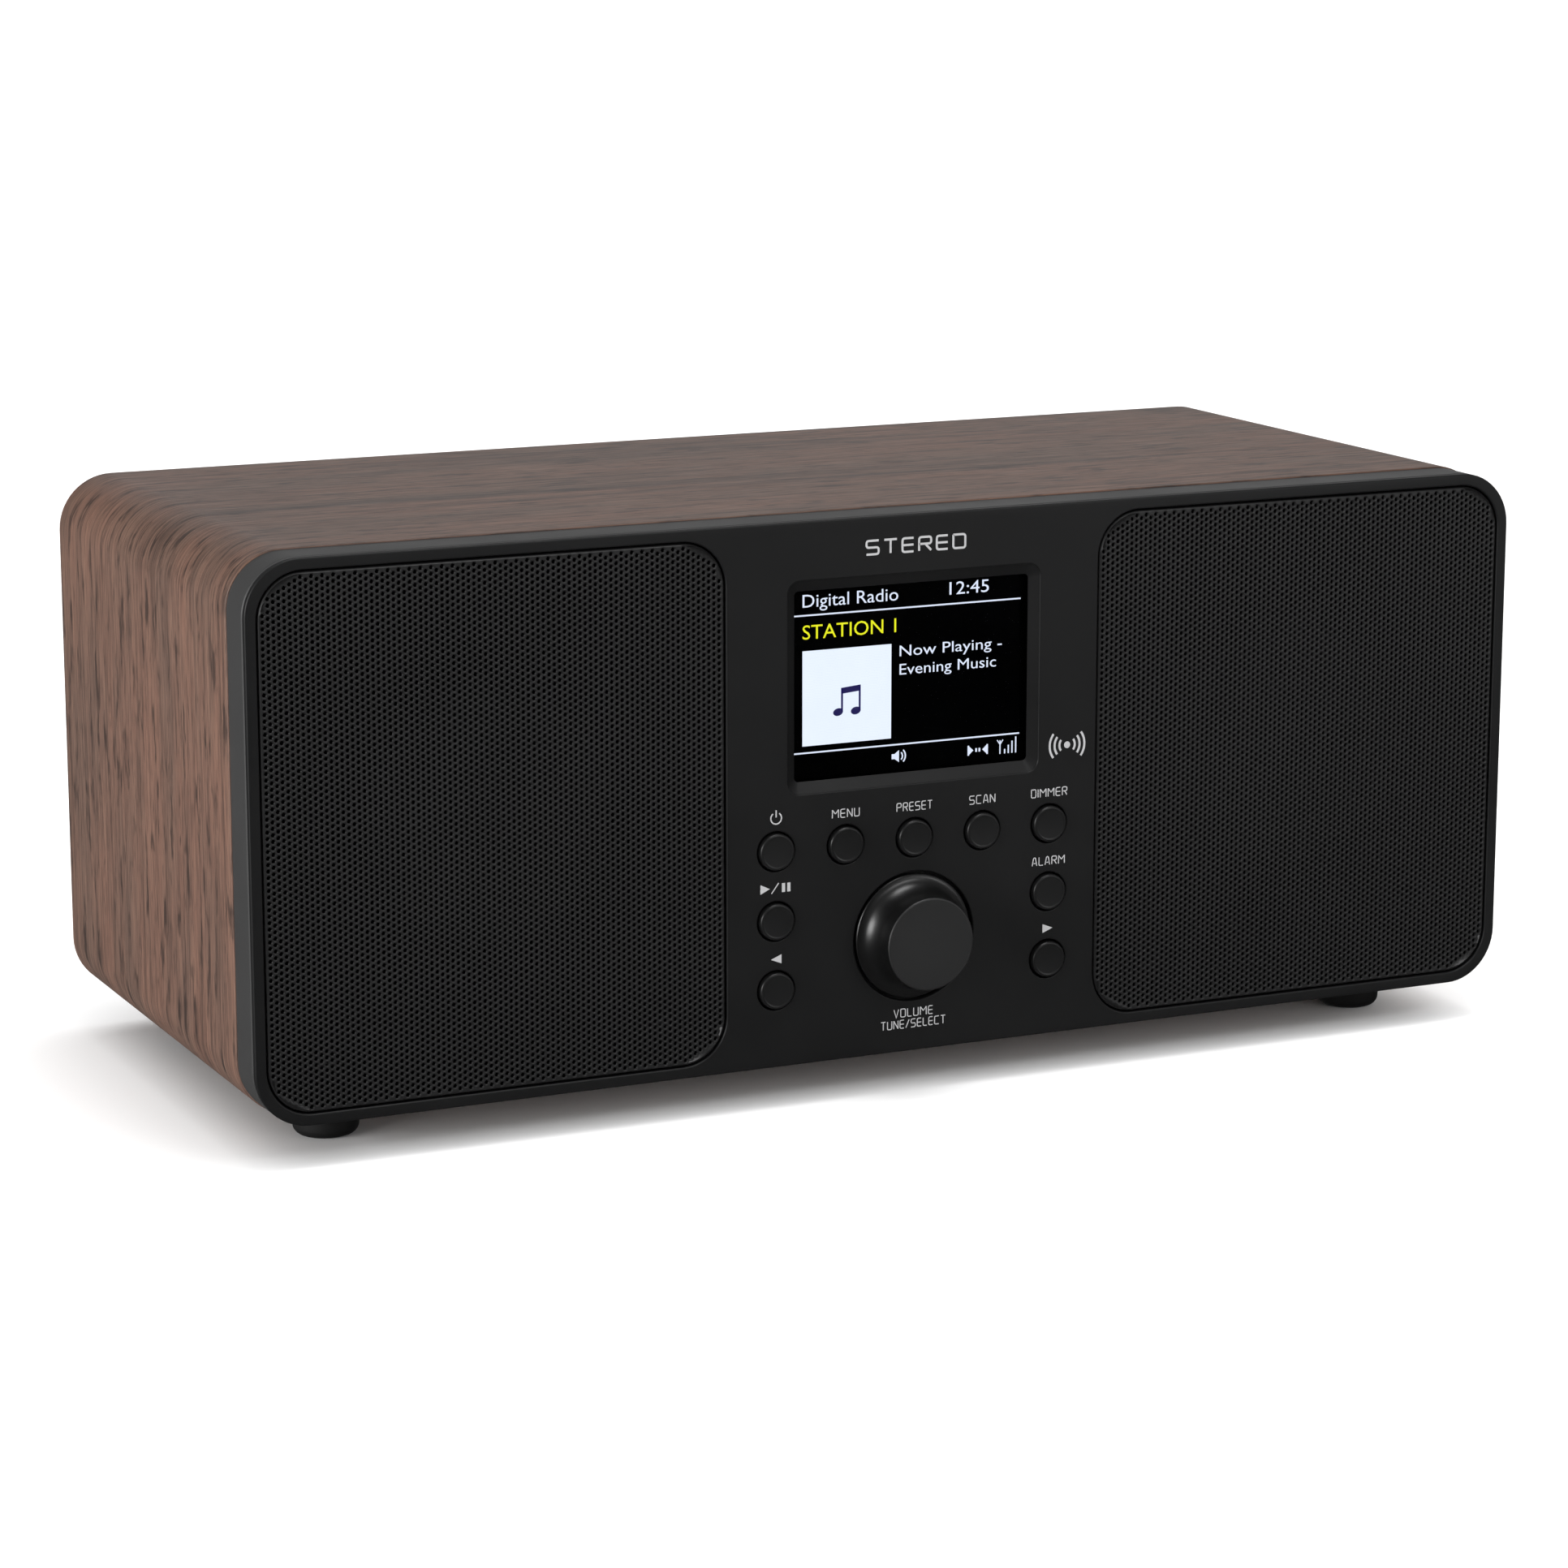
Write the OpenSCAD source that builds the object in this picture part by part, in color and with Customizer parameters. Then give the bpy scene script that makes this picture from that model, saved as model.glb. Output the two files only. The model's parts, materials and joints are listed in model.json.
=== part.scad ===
// Tabletop digital radio with stereo speakers, a colour display, push buttons,
// a turn-and-push knob and a telescopic antenna on the back.
// +Z is up, the front faces -Y, and the origin is on the floor under the middle.

/* [Body] */
// Width of the front frame
body_w = 300; // [290:1:320]
// Height of the front frame, without the feet
body_h = 118.2; // [116:0.2:124]
// Depth from the front plate to the back edge of the cabinet
body_d = 130; // [125:1:150]
// Outer corner radius of the front frame
corner_r = 12; // [10:0.5:14]
// Depth of the plastic front, ahead of the wooden cabinet
front_d = 11.4; // [10:0.2:14]
// How far the wood stands proud of the plastic front on each side
wood_proud = 0.3; // [0.1:0.1:0.5]
// Thickness of the cabinet boards
cabinet_wall = 8; // [7:0.5:9]
// Height of the rubber feet
foot_h = 9; // [6:0.1:10]
// Radius of the rubber feet at the top
foot_r = 7.6; // [6:0.1:8]

/* [Grilles and speakers] */
// Width of the recess that holds a grille
grille_w = 103.1; // [100:0.1:104]
// Margin between the body's edge and the grille recess
grille_margin = 2.5; // [2.2:0.1:3]
// Thickness of the perforated steel
grille_t = 1; // [0.8:0.1:1.1]
// Outer radius of a speaker frame
speaker_r = 39.5; // [38:0.5:40]
// Travel of a speaker cone each way from rest
cone_travel = 1.5; // [0.5:0.1:1.5]

/* [Display] */
// Width of the display opening at the front
bezel_w = 60.2; // [58:0.1:62]
// Height of the display opening at the front
bezel_h = 46; // [44:0.1:47]
// Width of the visible screen
screen_w = 55.9; // [54:0.1:57]
// Height of the visible screen
screen_h = 41.2; // [40:0.1:42]
// Height of the screen's centre above the bottom of the front frame
screen_z = 82.5; // [82:0.1:84]

/* [Buttons and knob] */
// Radius of a button cap
button_r = 4; // [3.8:0.1:4.2]
// Gap around a button cap
button_gap = 0.4; // [0.3:0.1:0.5]
// Pitch of the five buttons in the top row
button_pitch = 16.45; // [16:0.05:17]
// Travel of a button
button_travel = 0.6; // [0.3:0.1:0.7]
// Radius of the knob at its flared base
knob_r = 13.75; // [13:0.05:14]
// Radius of the knob's front face
knob_face_r = 10.25; // [9:0.05:11]
// How far the knob stands out from the front plate
knob_out = 8.5; // [7:0.1:10]
// Travel of the knob when it is pressed
knob_travel = 0.5; // [0.3:0.1:0.6]

/* [Antenna] */
// Outer radius of the thickest antenna section
antenna_r = 2.5; // [2.5:0.1:2.6]
// Length of the thickest antenna section
antenna_len = 144; // [130:1:150]
// Running gap between two antenna sections
antenna_gap = 0.08; // [0.05:0.01:0.1]

/* [Hidden] */

$fn = 96;
eps = 0.01;                            // overcut of a hole past the face that it opens
LEFT = -1;
RIGHT = 1;

// Planes along Y, from the front to the back
front_y = -body_d / 2;                 // front plate
frame_y = front_y + 1.8;               // plastic ring behind the plate's shadow groove
cabinet_y = front_y + front_d;         // front edge of the wood
plate_back_y = front_y + 5;            // back of the front plate
back_y = body_d / 2;                   // back edge of the wood
panel_y = back_y - 2;                  // outer face of the back panel
panel_t = 3;
panel_in_y = panel_y - panel_t;

// Heights along Z
body_z = foot_h + wood_proud;          // bottom of the front frame
mid_z = body_z + body_h / 2;           // middle of the body
cabinet_w = body_w + 2 * wood_proud;
cabinet_h = body_h + 2 * wood_proud;
inner_w = cabinet_w - 2 * cabinet_wall;
inner_h = cabinet_h - 2 * cabinet_wall;
inner_r = corner_r + wood_proud - cabinet_wall;
floor_z = foot_h + cabinet_wall;       // inside floor of the cabinet
fit_gap = 0.3;                         // gap around a panel that drops into a pocket

// Front frame
lip_w = 3;
lip_d = 8;
frame_in_w = inner_w - 2 * fit_gap;
frame_in_h = inner_h - 2 * fit_gap;
frame_in_r = inner_r - fit_gap;

// Grilles and speakers
grille_h = body_h - 2 * grille_margin;
grille_r = 10;
grille_gap = 0.4;
grille_depth = 1.2;
grille_floor_y = front_y + grille_depth;
speaker_x = body_w / 2 - grille_margin - grille_w / 2;
aperture_r = 34;
tab_w = 5;
tab_t = 1;
tab_len = 4.5;
tab_x = grille_w / 2 - 14;
tab_z = grille_h / 2 - 10;
flange_t = 1.5;
flange_in_r = 33.5;
speaker_screw_r = 36.7;
basket_y = front_y + 27;               // front of the magnet
magnet_y = front_y + 28.5;
magnet_end_y = front_y + 43;
coil_depth = 5;                        // how far a voice coil reaches into its magnet

// Display
display_z = body_z + screen_z;
bezel_d = 1.7;
window_t = 1.2;
screen_gap = 0.5;                      // air between the window and the screen panel
pocket_w = bezel_w + 2.4;
pocket_h = bezel_h + 1.6;
display_t = 3.2;

// Buttons: [x, height above the bottom of the front frame]
row_z = [47.6, 32.3, 17.1];
side_x = 2 * button_pitch;
BUTTONS = [
    [-side_x, row_z[0]], [-button_pitch, row_z[0]], [0, row_z[0]],
    [button_pitch, row_z[0]], [side_x, row_z[0]],
    [-side_x, row_z[1]], [side_x, row_z[1]],
    [-side_x, row_z[2]], [side_x, row_z[2]]];
button_out = 1;
board_y = front_y + 13;                // front of the control board
board_t = 1.6;
switch_h = 5;
switch_w = 6;
switch_y = board_y - switch_h;         // front of a switch body
plunger_r = 1.65;
plunger_out = 1;
plunger_in = 1.2;                      // how far a released plunger reaches into its switch
bore_gap = 0.1;

// Knob and encoder
knob_z = body_z + 25.7;
knob_gap = 0.7;
knob_recess = 2;
knob_back_y = front_y + knob_recess - 0.8;
shaft_r = 3;
shaft_gap = 0.05;
bush_r = 3.5;
encoder_w = 12.4;
encoder_y = board_y - 6.5;             // front of the encoder's box
shaft_end_y = board_y - 4.5;
plunger_t = 1.4;
post_r = 3;
POSTS = [[-17, 16], [17, 16], [-41, 54.5], [41, 54.5]];
screw_r = 1;

// Main board and its connectors
main_z = floor_z + 9;
main_t = 1.6;
main_w = 144;
main_y = 2;
main_d = 56;
main_top = main_z + main_t;
STANDOFFS = [for (x = [-40, 40], y = [main_y + 5, main_y + main_d - 5]) [x, y]];
tuner_h = 7;
terminal_x = speaker_x - 30;           // solder terminals of the speakers
terminal_y = plate_back_y + 10;
terminal_size = [8, 4, 8];
jack_z = main_top + 5.5;
dc_x = 32;
headphone_x = -30;
aux_x = -10;
nose_y = panel_y - 0.4;                // outer end of each connector's nose

// Back screws: [x, z]
block = 16;
screw_x = inner_w / 2 - 8.5;
screw_z = inner_h / 2 - 8.5;
CORNERS = [for (x = [-screw_x, screw_x], z = [-screw_z, screw_z]) [x, mid_z + z]];
BLOCKS = concat(CORNERS, [[0, mid_z + screw_z]]);

// Antenna
pivot_x = 118;
pivot_z = body_z + 100;
rod_y = panel_y + 7;
stem_r = 3;
ear_t = 1.5;
tongue_t = 5;
ear_r = 3.5;
tongue_r = 3.2;
pin_r = 1.2;
tube_wall = 0.32;
bush_end_y = panel_in_y - 4;           // inner end of the antenna's bush
lead_t = 1.2;                          // thickness of every lead
lead_y = bush_end_y - lead_t / 2;
tag_z = pivot_z - 10;                  // lower end of the antenna's solder tag

// Feet
foot_x = body_w / 2 - 23.5;
foot_y = body_d / 2 - 25;
foot_seat = foot_h - 3.7;              // height of the screw head's seat

// A cylinder along +Y, from its front centre at [x, y, z]
module y_cylinder(x, y, z, r, length) {
    translate([x, y, z]) rotate([-90, 0, 0]) cylinder(r = r, h = length);
}

// A box between two corners
module span(a, b) {
    translate(a) cube(b - a);
}

// A flat outline with four round corners
module round_rect(w, h, r) {
    square([w - 2 * r, h], center = true);
    square([w, h - 2 * r], center = true);
    for (sx = [-1, 1], sz = [-1, 1])
        translate([sx * (w / 2 - r), sz * (h / 2 - r)]) circle(r = r);
}

// A plate with round corners, upright, centred on [x, z], from y to y + t
module round_plate(x, z, w, h, r, y, t) {
    translate([x, y + t, z]) rotate([90, 0, 0]) linear_extrude(t) round_rect(w, h, r);
}

// A ring between two round-cornered outlines, from y to y + t
module round_ring(w, h, r, in_w, in_h, in_r, y, t) {
    difference() {
        round_plate(0, mid_z, w, h, r, y, t);
        round_plate(0, mid_z, in_w, in_h, in_r, y - eps, t + 2 * eps);
    }
}

// A solid turned about the Y axis through [x, z]; outline points are [radius, y]
module turned(x, z, points) {
    translate([x, 0, z]) rotate([-90, 0, 0]) rotate_extrude() polygon(points);
}

// Wooden sleeve with glue blocks for the back panel's screws
module cabinet() {
    block_y = panel_in_y - block;
    color("#8a6f60") difference() {
        union() {
            round_ring(cabinet_w, cabinet_h, corner_r + wood_proud, inner_w, inner_h, inner_r,
                cabinet_y, back_y - cabinet_y);
            for (b = BLOCKS)
                cabinet_block(b[0], b[1], block_y);
        }
        for (b = BLOCKS)
            y_cylinder(b[0], block_y + 2, b[1], 1.5, block);
        for (sx = [-1, 1], sy = [-1, 1])
            translate([sx * foot_x, sy * foot_y, foot_h - 1]) cylinder(r = 1.5, h = 7.5);
    }
}

// One glue block, run into the wall above or below it and beside it
module cabinet_block(x, z, y) {
    side = sign(x) * 1.5;
    up = sign(z - mid_z) * 1.5;
    translate([x - block / 2 + side, y, z - block / 2 + up]) cube([block, block, block]);
}

// Charcoal plastic ring between the front plate and the wood, with a lip inside the wood
module front_frame() {
    step_y = plate_back_y + 0.1;
    color("#3c3d3c") difference() {
        union() {
            round_plate(0, mid_z, body_w, body_h, corner_r, frame_y, cabinet_y - frame_y);
            round_plate(0, mid_z, frame_in_w, frame_in_h, frame_in_r, cabinet_y - 1, lip_d + 1);
        }
        round_plate(0, mid_z, frame_in_w, frame_in_h, frame_in_r, frame_y - 1, step_y - frame_y + 1);
        round_plate(0, mid_z, frame_in_w - 2 * lip_w, frame_in_h - 2 * lip_w, 1.5,
            step_y - 1, lip_d + front_d);
    }
}

// Front plate with every opening, pocket and mounting post
module fascia() {
    rim_t = 1.4;
    groove = 0.4;
    color("#232424") difference() {
        union() {
            round_plate(0, mid_z, body_w, body_h, corner_r, front_y, rim_t);
            round_plate(0, mid_z, body_w - 2 * groove, body_h - 2 * groove, corner_r - groove,
                front_y + 0.5, frame_y - front_y - 0.5);
            round_plate(0, mid_z, frame_in_w - 2 * fit_gap, frame_in_h - 2 * fit_gap,
                frame_in_r - fit_gap, front_y + 0.8, plate_back_y - front_y - 0.8);
            for (p = POSTS)
                y_cylinder(p[0], plate_back_y - 1, body_z + p[1], post_r, board_y - plate_back_y + 1);
        }
        for (side = [LEFT, RIGHT]) {
            round_plate(side * speaker_x, mid_z, grille_w, grille_h, grille_r,
                front_y - 1, grille_depth + 1);
            y_cylinder(side * speaker_x, front_y - 1, mid_z, aperture_r, 8);
            for (sx = [-1, 1], sz = [-1, 1])
                translate([side * speaker_x + sx * tab_x, front_y + 2.5, mid_z + sz * tab_z])
                    cube([tab_w + 0.6, 8, tab_t + 0.6], center = true);
            for (a = [45:90:315])
                y_cylinder(side * speaker_x + speaker_screw_r * cos(a), plate_back_y - 3,
                    mid_z + speaker_screw_r * sin(a), screw_r + 0.2, 4);
        }
        display_opening();
        for (b = BUTTONS)
            y_cylinder(b[0], front_y - 1, body_z + b[1], button_r + button_gap, 8);
        y_cylinder(0, front_y - 1, knob_z, knob_r + knob_gap, knob_recess + 1);
        y_cylinder(0, front_y, knob_z, bush_r + 0.5, 8);
        for (p = POSTS)
            y_cylinder(p[0], plate_back_y + 1, body_z + p[1], screw_r + 0.05, 8);
    }
}

// Sloping bezel and the pocket behind it
module display_opening() {
    bezel_r = 2.8;
    thin = 0.02;
    hull() {
        round_plate(0, display_z, bezel_w, bezel_h, bezel_r, front_y - thin, thin, $fn = 32);
        round_plate(0, display_z, screen_w, screen_h, 1, front_y + bezel_d, thin, $fn = 32);
    }
    translate([0, front_y + bezel_d + 3, display_z]) cube([pocket_w, 6, pocket_h], center = true);
}

// Perforated steel grille, plain here, with its fixing tabs
module grille(side) {
    color("#2e2f2f") union() {
        round_plate(side * speaker_x, mid_z, grille_w - 2 * grille_gap, grille_h - 2 * grille_gap,
            grille_r - grille_gap, grille_floor_y - grille_t, grille_t);
        for (sx = [-1, 1], sz = [-1, 1])
            translate([side * speaker_x + sx * tab_x - tab_w / 2, grille_floor_y - 0.5,
                mid_z + sz * tab_z - tab_t / 2]) cube([tab_w, tab_len + 0.5, tab_t]);
    }
}

module display_window() {
    color("#101418") translate([0, front_y + bezel_d + window_t / 2, display_z])
        cube([pocket_w - 0.6, window_t, pocket_h - 0.6], center = true);
}

// Screen panel in its pressed metal tray
module display_module() {
    y = front_y + bezel_d + window_t + screen_gap;
    color("#5a5d60") translate([0, y + display_t / 2, display_z])
        cube([pocket_w - 1, display_t, pocket_h - 1], center = true);
}

// Button cap with its flange and stem, and the switch plunger that it presses
module button(k) {
    x = BUTTONS[k][0];
    z = body_z + BUTTONS[k][1];
    chamfer = 0.35;
    cap_y = front_y - button_out;
    flange_y = plate_back_y + 0.1;
    stem_end = switch_y - plunger_out;
    color("#262727") {
        turned(x, z, [[0, cap_y], [button_r - chamfer, cap_y], [button_r, cap_y + chamfer],
            [button_r, flange_y], [button_r + 1.4, flange_y], [button_r + 1.4, flange_y + 1],
            [1.8, flange_y + 1], [1.8, stem_end], [0, stem_end]]);
        y_cylinder(x, stem_end + 0.05, z, plunger_r, plunger_out + plunger_in);
    }
}

// Switch bodies on the control board, one behind each button
module switch_bodies() {
    color("#3a3a3c") for (b = BUTTONS)
        difference() {
            translate([b[0] - switch_w / 2, switch_y, body_z + b[1] - switch_w / 2])
                cube([switch_w, switch_h, switch_w]);
            y_cylinder(b[0], switch_y - eps, body_z + b[1], plunger_r + bore_gap,
                plunger_in + button_travel + 0.4);
        }
}

// Knob with a trumpet-shaped side, turned about Y
module tuning_knob() {
    face_y = front_y - knob_out;
    rim_y = knob_back_y - 1.1;
    flare_y = face_y + 3.4;
    edge = 0.4;
    steps = 10;
    // a quarter ellipse from the straight part of the side to the rim
    flare = [for (i = [0:steps]) [
        knob_r - (knob_r - knob_face_r) * sin(90 * (1 - i / steps)),
        flare_y + (rim_y - flare_y) * sin(90 * i / steps)]];
    color("#2b2c2c") difference() {
        turned(0, knob_z, concat(
            [[0, face_y], [knob_face_r - edge, face_y], [knob_face_r, face_y + edge]],
            flare, [[knob_r, knob_back_y], [0, knob_back_y]]));
        y_cylinder(0, face_y + 2.5, knob_z, shaft_r + 0.02, 12);
        turned(0, knob_z, [[5.2, knob_back_y + eps], [8.6, knob_back_y + eps],
            [7.8, face_y + 2.5], [5.2, face_y + 2.5]]);
    }
}

// Steel shaft that carries the knob
module encoder_shaft() {
    y = front_y - knob_out + 2.6;
    color("#b9bcbe") y_cylinder(0, y, knob_z, shaft_r, shaft_end_y - y);
}

// Plunger that the shaft pushes when the knob is pressed
module encoder_plunger() {
    color("#d8d4c8") y_cylinder(0, shaft_end_y + 0.05, knob_z, shaft_r - 0.05, plunger_t);
}

// Encoder box with its bush
module encoder_body() {
    bush_y = front_y + 2.5;
    bore_end_y = shaft_end_y + plunger_t + knob_travel + 0.3;
    color("#8f9396") difference() {
        union() {
            translate([-encoder_w / 2, encoder_y, knob_z - encoder_w / 2])
                cube([encoder_w, board_y - encoder_y, encoder_w]);
            y_cylinder(0, bush_y, knob_z, bush_r, encoder_y - bush_y + 1);
        }
        y_cylinder(0, bush_y - 1, knob_z, shaft_r + shaft_gap, bore_end_y - bush_y + 1);
    }
}

// Board behind the buttons and the knob
module control_board() {
    color("#1d5b3a") difference() {
        span([-45, board_y, mid_z - frame_in_h / 2 + lip_w + 1], [45, board_y + board_t, body_z + 58]);
        for (p = POSTS)
            y_cylinder(p[0], board_y - 1, body_z + p[1], screw_r + 0.2, 4);
    }
}

// Receiver and amplifier board, level above the floor of the cabinet
module main_board() {
    color("#1d5b3a") difference() {
        span([-main_w / 2, main_y, main_z], [main_w / 2, main_y + main_d, main_top]);
        for (p = STANDOFFS)
            translate([p[0], p[1], main_z - 1]) cylinder(r = screw_r + 0.2, h = 4);
    }
}

module board_standoffs() {
    color("#c9c2b0") for (p = STANDOFFS)
        translate([p[0], p[1], floor_z]) difference() {
            cylinder(r = 3, h = main_z - floor_z);
            translate([0, 0, 2]) cylinder(r = screw_r + 0.05, h = 10);
        }
}

// Pan-head screw along -Z, head up, with its seat at the origin
module screw(head_r, head_h, shank_r, shank_len) {
    cylinder(r = head_r, h = head_h);
    translate([0, 0, -shank_len]) cylinder(r = shank_r, h = shank_len + eps);
}

module board_screws() {
    color("#b9bcbe") {
        for (p = POSTS)
            translate([p[0], board_y + board_t, body_z + p[1]]) rotate([-90, 0, 0])
                screw(2.4, 1.6, screw_r, 6);
        for (p = STANDOFFS)
            translate([p[0], p[1], main_top]) screw(2.4, 1.6, screw_r, 6);
    }
}

// Receiver under its screening can
module tuner_module() {
    color("#a9adb0") span([44, 30, main_top], [70, 57, main_top + tuner_h]);
}

// Finned cooler on the amplifier
module heat_sink() {
    color("#9da1a4") {
        span([-50, 12, main_top], [-20, 34, main_top + 3]);
        for (i = [0:5])
            translate([-50 + i * 5.6, 12, main_top + 2]) cube([2, 22, 14]);
    }
}

module capacitors() {
    color("#2a3550") for (p = [[-6, 18], [7, 18], [-6, 32], [7, 32]])
        translate([p[0], p[1], main_top]) cylinder(r = 5, h = 16);
}

// Pressed frame of a speaker, with its terminal block towards the middle
module speaker_frame(side) {
    y0 = plate_back_y;
    color("#4a4c4e") difference() {
        union() {
            turned(side * speaker_x, mid_z, [[flange_in_r, y0], [speaker_r, y0], [speaker_r, y0 + flange_t],
                [flange_in_r + 1, y0 + flange_t], [19.5, basket_y], [19.5, magnet_y], [8.2, magnet_y],
                [8.2, magnet_y - 1.5], [18.2, magnet_y - 1.5], [flange_in_r, y0 + flange_t - 0.6]]);
            translate([side * terminal_x, terminal_y, mid_z]) cube(terminal_size, center = true);
        }
        for (a = [45:90:315])
            y_cylinder(side * speaker_x + speaker_screw_r * cos(a), y0 - 1,
                mid_z + speaker_screw_r * sin(a), 1.5, 4);
    }
}

// Magnet, plates and centre pole, with the gap for the voice coil
module speaker_magnet(side) {
    gap_end_y = magnet_y + coil_depth + cone_travel + 4;
    color("#2f3032") turned(side * speaker_x, mid_z, [[0, magnet_y], [6.2, magnet_y], [6.2, gap_end_y],
        [7.6, gap_end_y], [7.6, magnet_y], [20, magnet_y], [20, magnet_end_y], [0, magnet_end_y]]);
}

// Paper cone with its dust cap and voice coil
module speaker_cone(side) {
    edge_y = plate_back_y + 0.8;
    neck_y = plate_back_y + 11;
    coil_end_y = magnet_y + coil_depth;
    coil_out = 7.1;
    coil_in = 6.7;
    cap_rise = 2.4;
    paper = 0.5;
    color("#4b4b4d") turned(side * speaker_x, mid_z, concat(
        [for (i = [0:6]) [coil_out * i / 6, neck_y - 1 - cap_rise * cos(90 * i / 6)]],
        [[27.3, edge_y], [27.3, edge_y + paper], [coil_out, neck_y + paper], [coil_out, coil_end_y],
            [coil_in, coil_end_y], [coil_in, neck_y],
            [0, neck_y - 1 - cap_rise + paper]]));
}

// Rubber half-roll between the cone and the frame
module speaker_surround(side) {
    roll_r = 2.85;
    roll_c = 30.45;
    y0 = plate_back_y + 0.8;
    color("#1c1c1d") translate([side * speaker_x, 0, mid_z]) rotate([-90, 0, 0]) rotate_extrude()
        difference() {
            translate([roll_c, y0]) circle(r = roll_r, $fn = 48);
            translate([roll_c, y0]) circle(r = roll_r - 0.5, $fn = 48);
            translate([roll_c - 5, y0]) square([10, 5]);
        }
}

module speaker_screws() {
    color("#b9bcbe") for (side = [LEFT, RIGHT], a = [45:90:315])
        translate([side * speaker_x + speaker_screw_r * cos(a), plate_back_y + flange_t,
            mid_z + speaker_screw_r * sin(a)]) rotate([-90, 0, 0]) screw(2.2, 1.4, 1.1, 4.2);
}

function unit(v) = v / norm(v);

// Points along one side of a lead as it turns at p, from a towards b
function bend_side(a, p, b, r, side) =
    let (d0 = unit(p - a), d1 = unit(b - p), c = p + (d1 - d0) * r)
    [for (g = [0:15:90]) let (t = d0 * cos(g) + d1 * sin(g))
        c + (d0 * sin(g) - d1 * cos(g)) * r + side * [-t[1], t[0]]];

// One side of a lead from end to end; every turn is a right angle
function lead_side(path, r, side) =
    let (n = len(path) - 1, d0 = unit(path[1] - path[0]), d1 = unit(path[n] - path[n - 1]))
    concat([path[0] + side * [-d0[1], d0[0]]],
        [for (i = [1:n - 1]) each bend_side(path[i - 1], path[i], path[i + 1], r, side)],
        [path[n] + side * [-d1[1], d1[0]]]);

// A flat lead of some width that follows a path of right-angled turns in a plane
module flat_lead(path, r, width, t) {
    back = lead_side(path, r, -t / 2);
    linear_extrude(width, center = true)
        polygon(concat(lead_side(path, r, t / 2), [for (i = [len(back) - 1:-1:0]) back[i]]));
}

// Twin lead from a speaker's terminals down and back to the main board
module speaker_lead(side) {
    run_z = main_top + 7;
    end_y = main_y + 16;
    color("#9c2b25") translate([side * terminal_x, 0, 0]) rotate([90, 0, 90])
        flat_lead([[terminal_y, mid_z - terminal_size[2] / 2], [terminal_y, run_z], [end_y, run_z],
            [end_y, main_top]], 4, 2.2, lead_t);
}

// Coaxial lead from the antenna's solder tag to the receiver
module antenna_lead() {
    run_z = main_top + 20;
    end_x = 57;
    color("#1b1b1c") translate([0, lead_y, 0]) rotate([90, 0, 0])
        flat_lead([[pivot_x, tag_z], [pivot_x, run_z], [end_x, run_z], [end_x, main_top + tuner_h]],
            5, lead_t, lead_t);
}

// Flat cable from the control board back to the main board
module ribbon_cable() {
    rise = 3;
    half = 9;
    t = 0.8;
    start_y = board_y + board_t;
    end_y = main_y + 6;
    steps = 12;
    lower = [for (i = [0:steps]) [start_y + (end_y - start_y) * i / steps,
        main_top + (i < steps ? rise * sin(180 * i / steps) : 0)]];
    upper = [for (i = [steps:-1:0]) [lower[i][0], lower[i][1] + t]];
    color("#a8aeb4") translate([-half, 0, 0]) rotate([90, 0, 90]) linear_extrude(2 * half)
        polygon(concat(lower, upper));
}

// Plastic back with its connector holes, vents and antenna hole
module back_panel() {
    vent_w = 40;
    vent_pitch = 6;
    color("#1e1f1f") difference() {
        round_plate(0, mid_z, inner_w - 2 * fit_gap, inner_h - 2 * fit_gap, inner_r - fit_gap,
            panel_in_y, panel_t);
        for (b = BLOCKS)
            y_cylinder(b[0], panel_in_y - 1, b[1], 1.8, 6);
        y_cylinder(dc_x, panel_in_y - 1, jack_z, 4.4, 6);
        for (x = [headphone_x, aux_x])
            y_cylinder(x, panel_in_y - 1, jack_z, 3.4, 6);
        y_cylinder(pivot_x, panel_in_y - 1, pivot_z, 4.8, 6);
        for (side = [LEFT, RIGHT], i = [0:5])
            translate([side * speaker_x - vent_w / 2, panel_in_y - 1, mid_z - 18 + i * vent_pitch])
                cube([vent_w, panel_t + 2, 2]);
    }
}

module back_screws() {
    color("#3a3a3c") for (b = BLOCKS)
        translate([b[0], panel_y, b[1]]) rotate([-90, 0, 0]) screw(3.2, 1.6, 1.4, 13);
}

// Round socket for a 3.5 mm plug
module audio_jack(x) {
    color("#1b1b1c") difference() {
        union() {
            span([x - 5, panel_in_y - 13, main_top], [x + 5, panel_in_y - 0.2, jack_z + 5]);
            y_cylinder(x, panel_in_y - 2, jack_z, 3, nose_y - panel_in_y + 2);
        }
        y_cylinder(x, nose_y - 14, jack_z, 1.8, 20);
    }
}

// Barrel socket for the mains adaptor, with its centre pin
module dc_jack() {
    color("#1b1b1c") {
        difference() {
            union() {
                span([dc_x - 5, panel_in_y - 12, main_top], [dc_x + 5, panel_in_y - 0.2, jack_z + 5.5]);
                y_cylinder(dc_x, panel_in_y - 2, jack_z, 4, nose_y - panel_in_y + 2);
            }
            y_cylinder(dc_x, nose_y - 10, jack_z, 2.9, 20);
        }
        y_cylinder(dc_x, nose_y - 10.5, jack_z, 1, 9.5);
    }
}

// Fixed bush of the antenna, through the back panel
module antenna_bracket() {
    color("#2a2b2b") difference() {
        union() {
            y_cylinder(pivot_x, panel_y, pivot_z, 9, 2);
            y_cylinder(pivot_x, bush_end_y, pivot_z, 4.5, panel_y - bush_end_y + 1);
            span([pivot_x - 2, bush_end_y - lead_t, tag_z], [pivot_x + 2, bush_end_y + 1, pivot_z - 3.6]);
        }
        y_cylinder(pivot_x, bush_end_y - 1, pivot_z, stem_r + shaft_gap, 14);
    }
}

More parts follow.
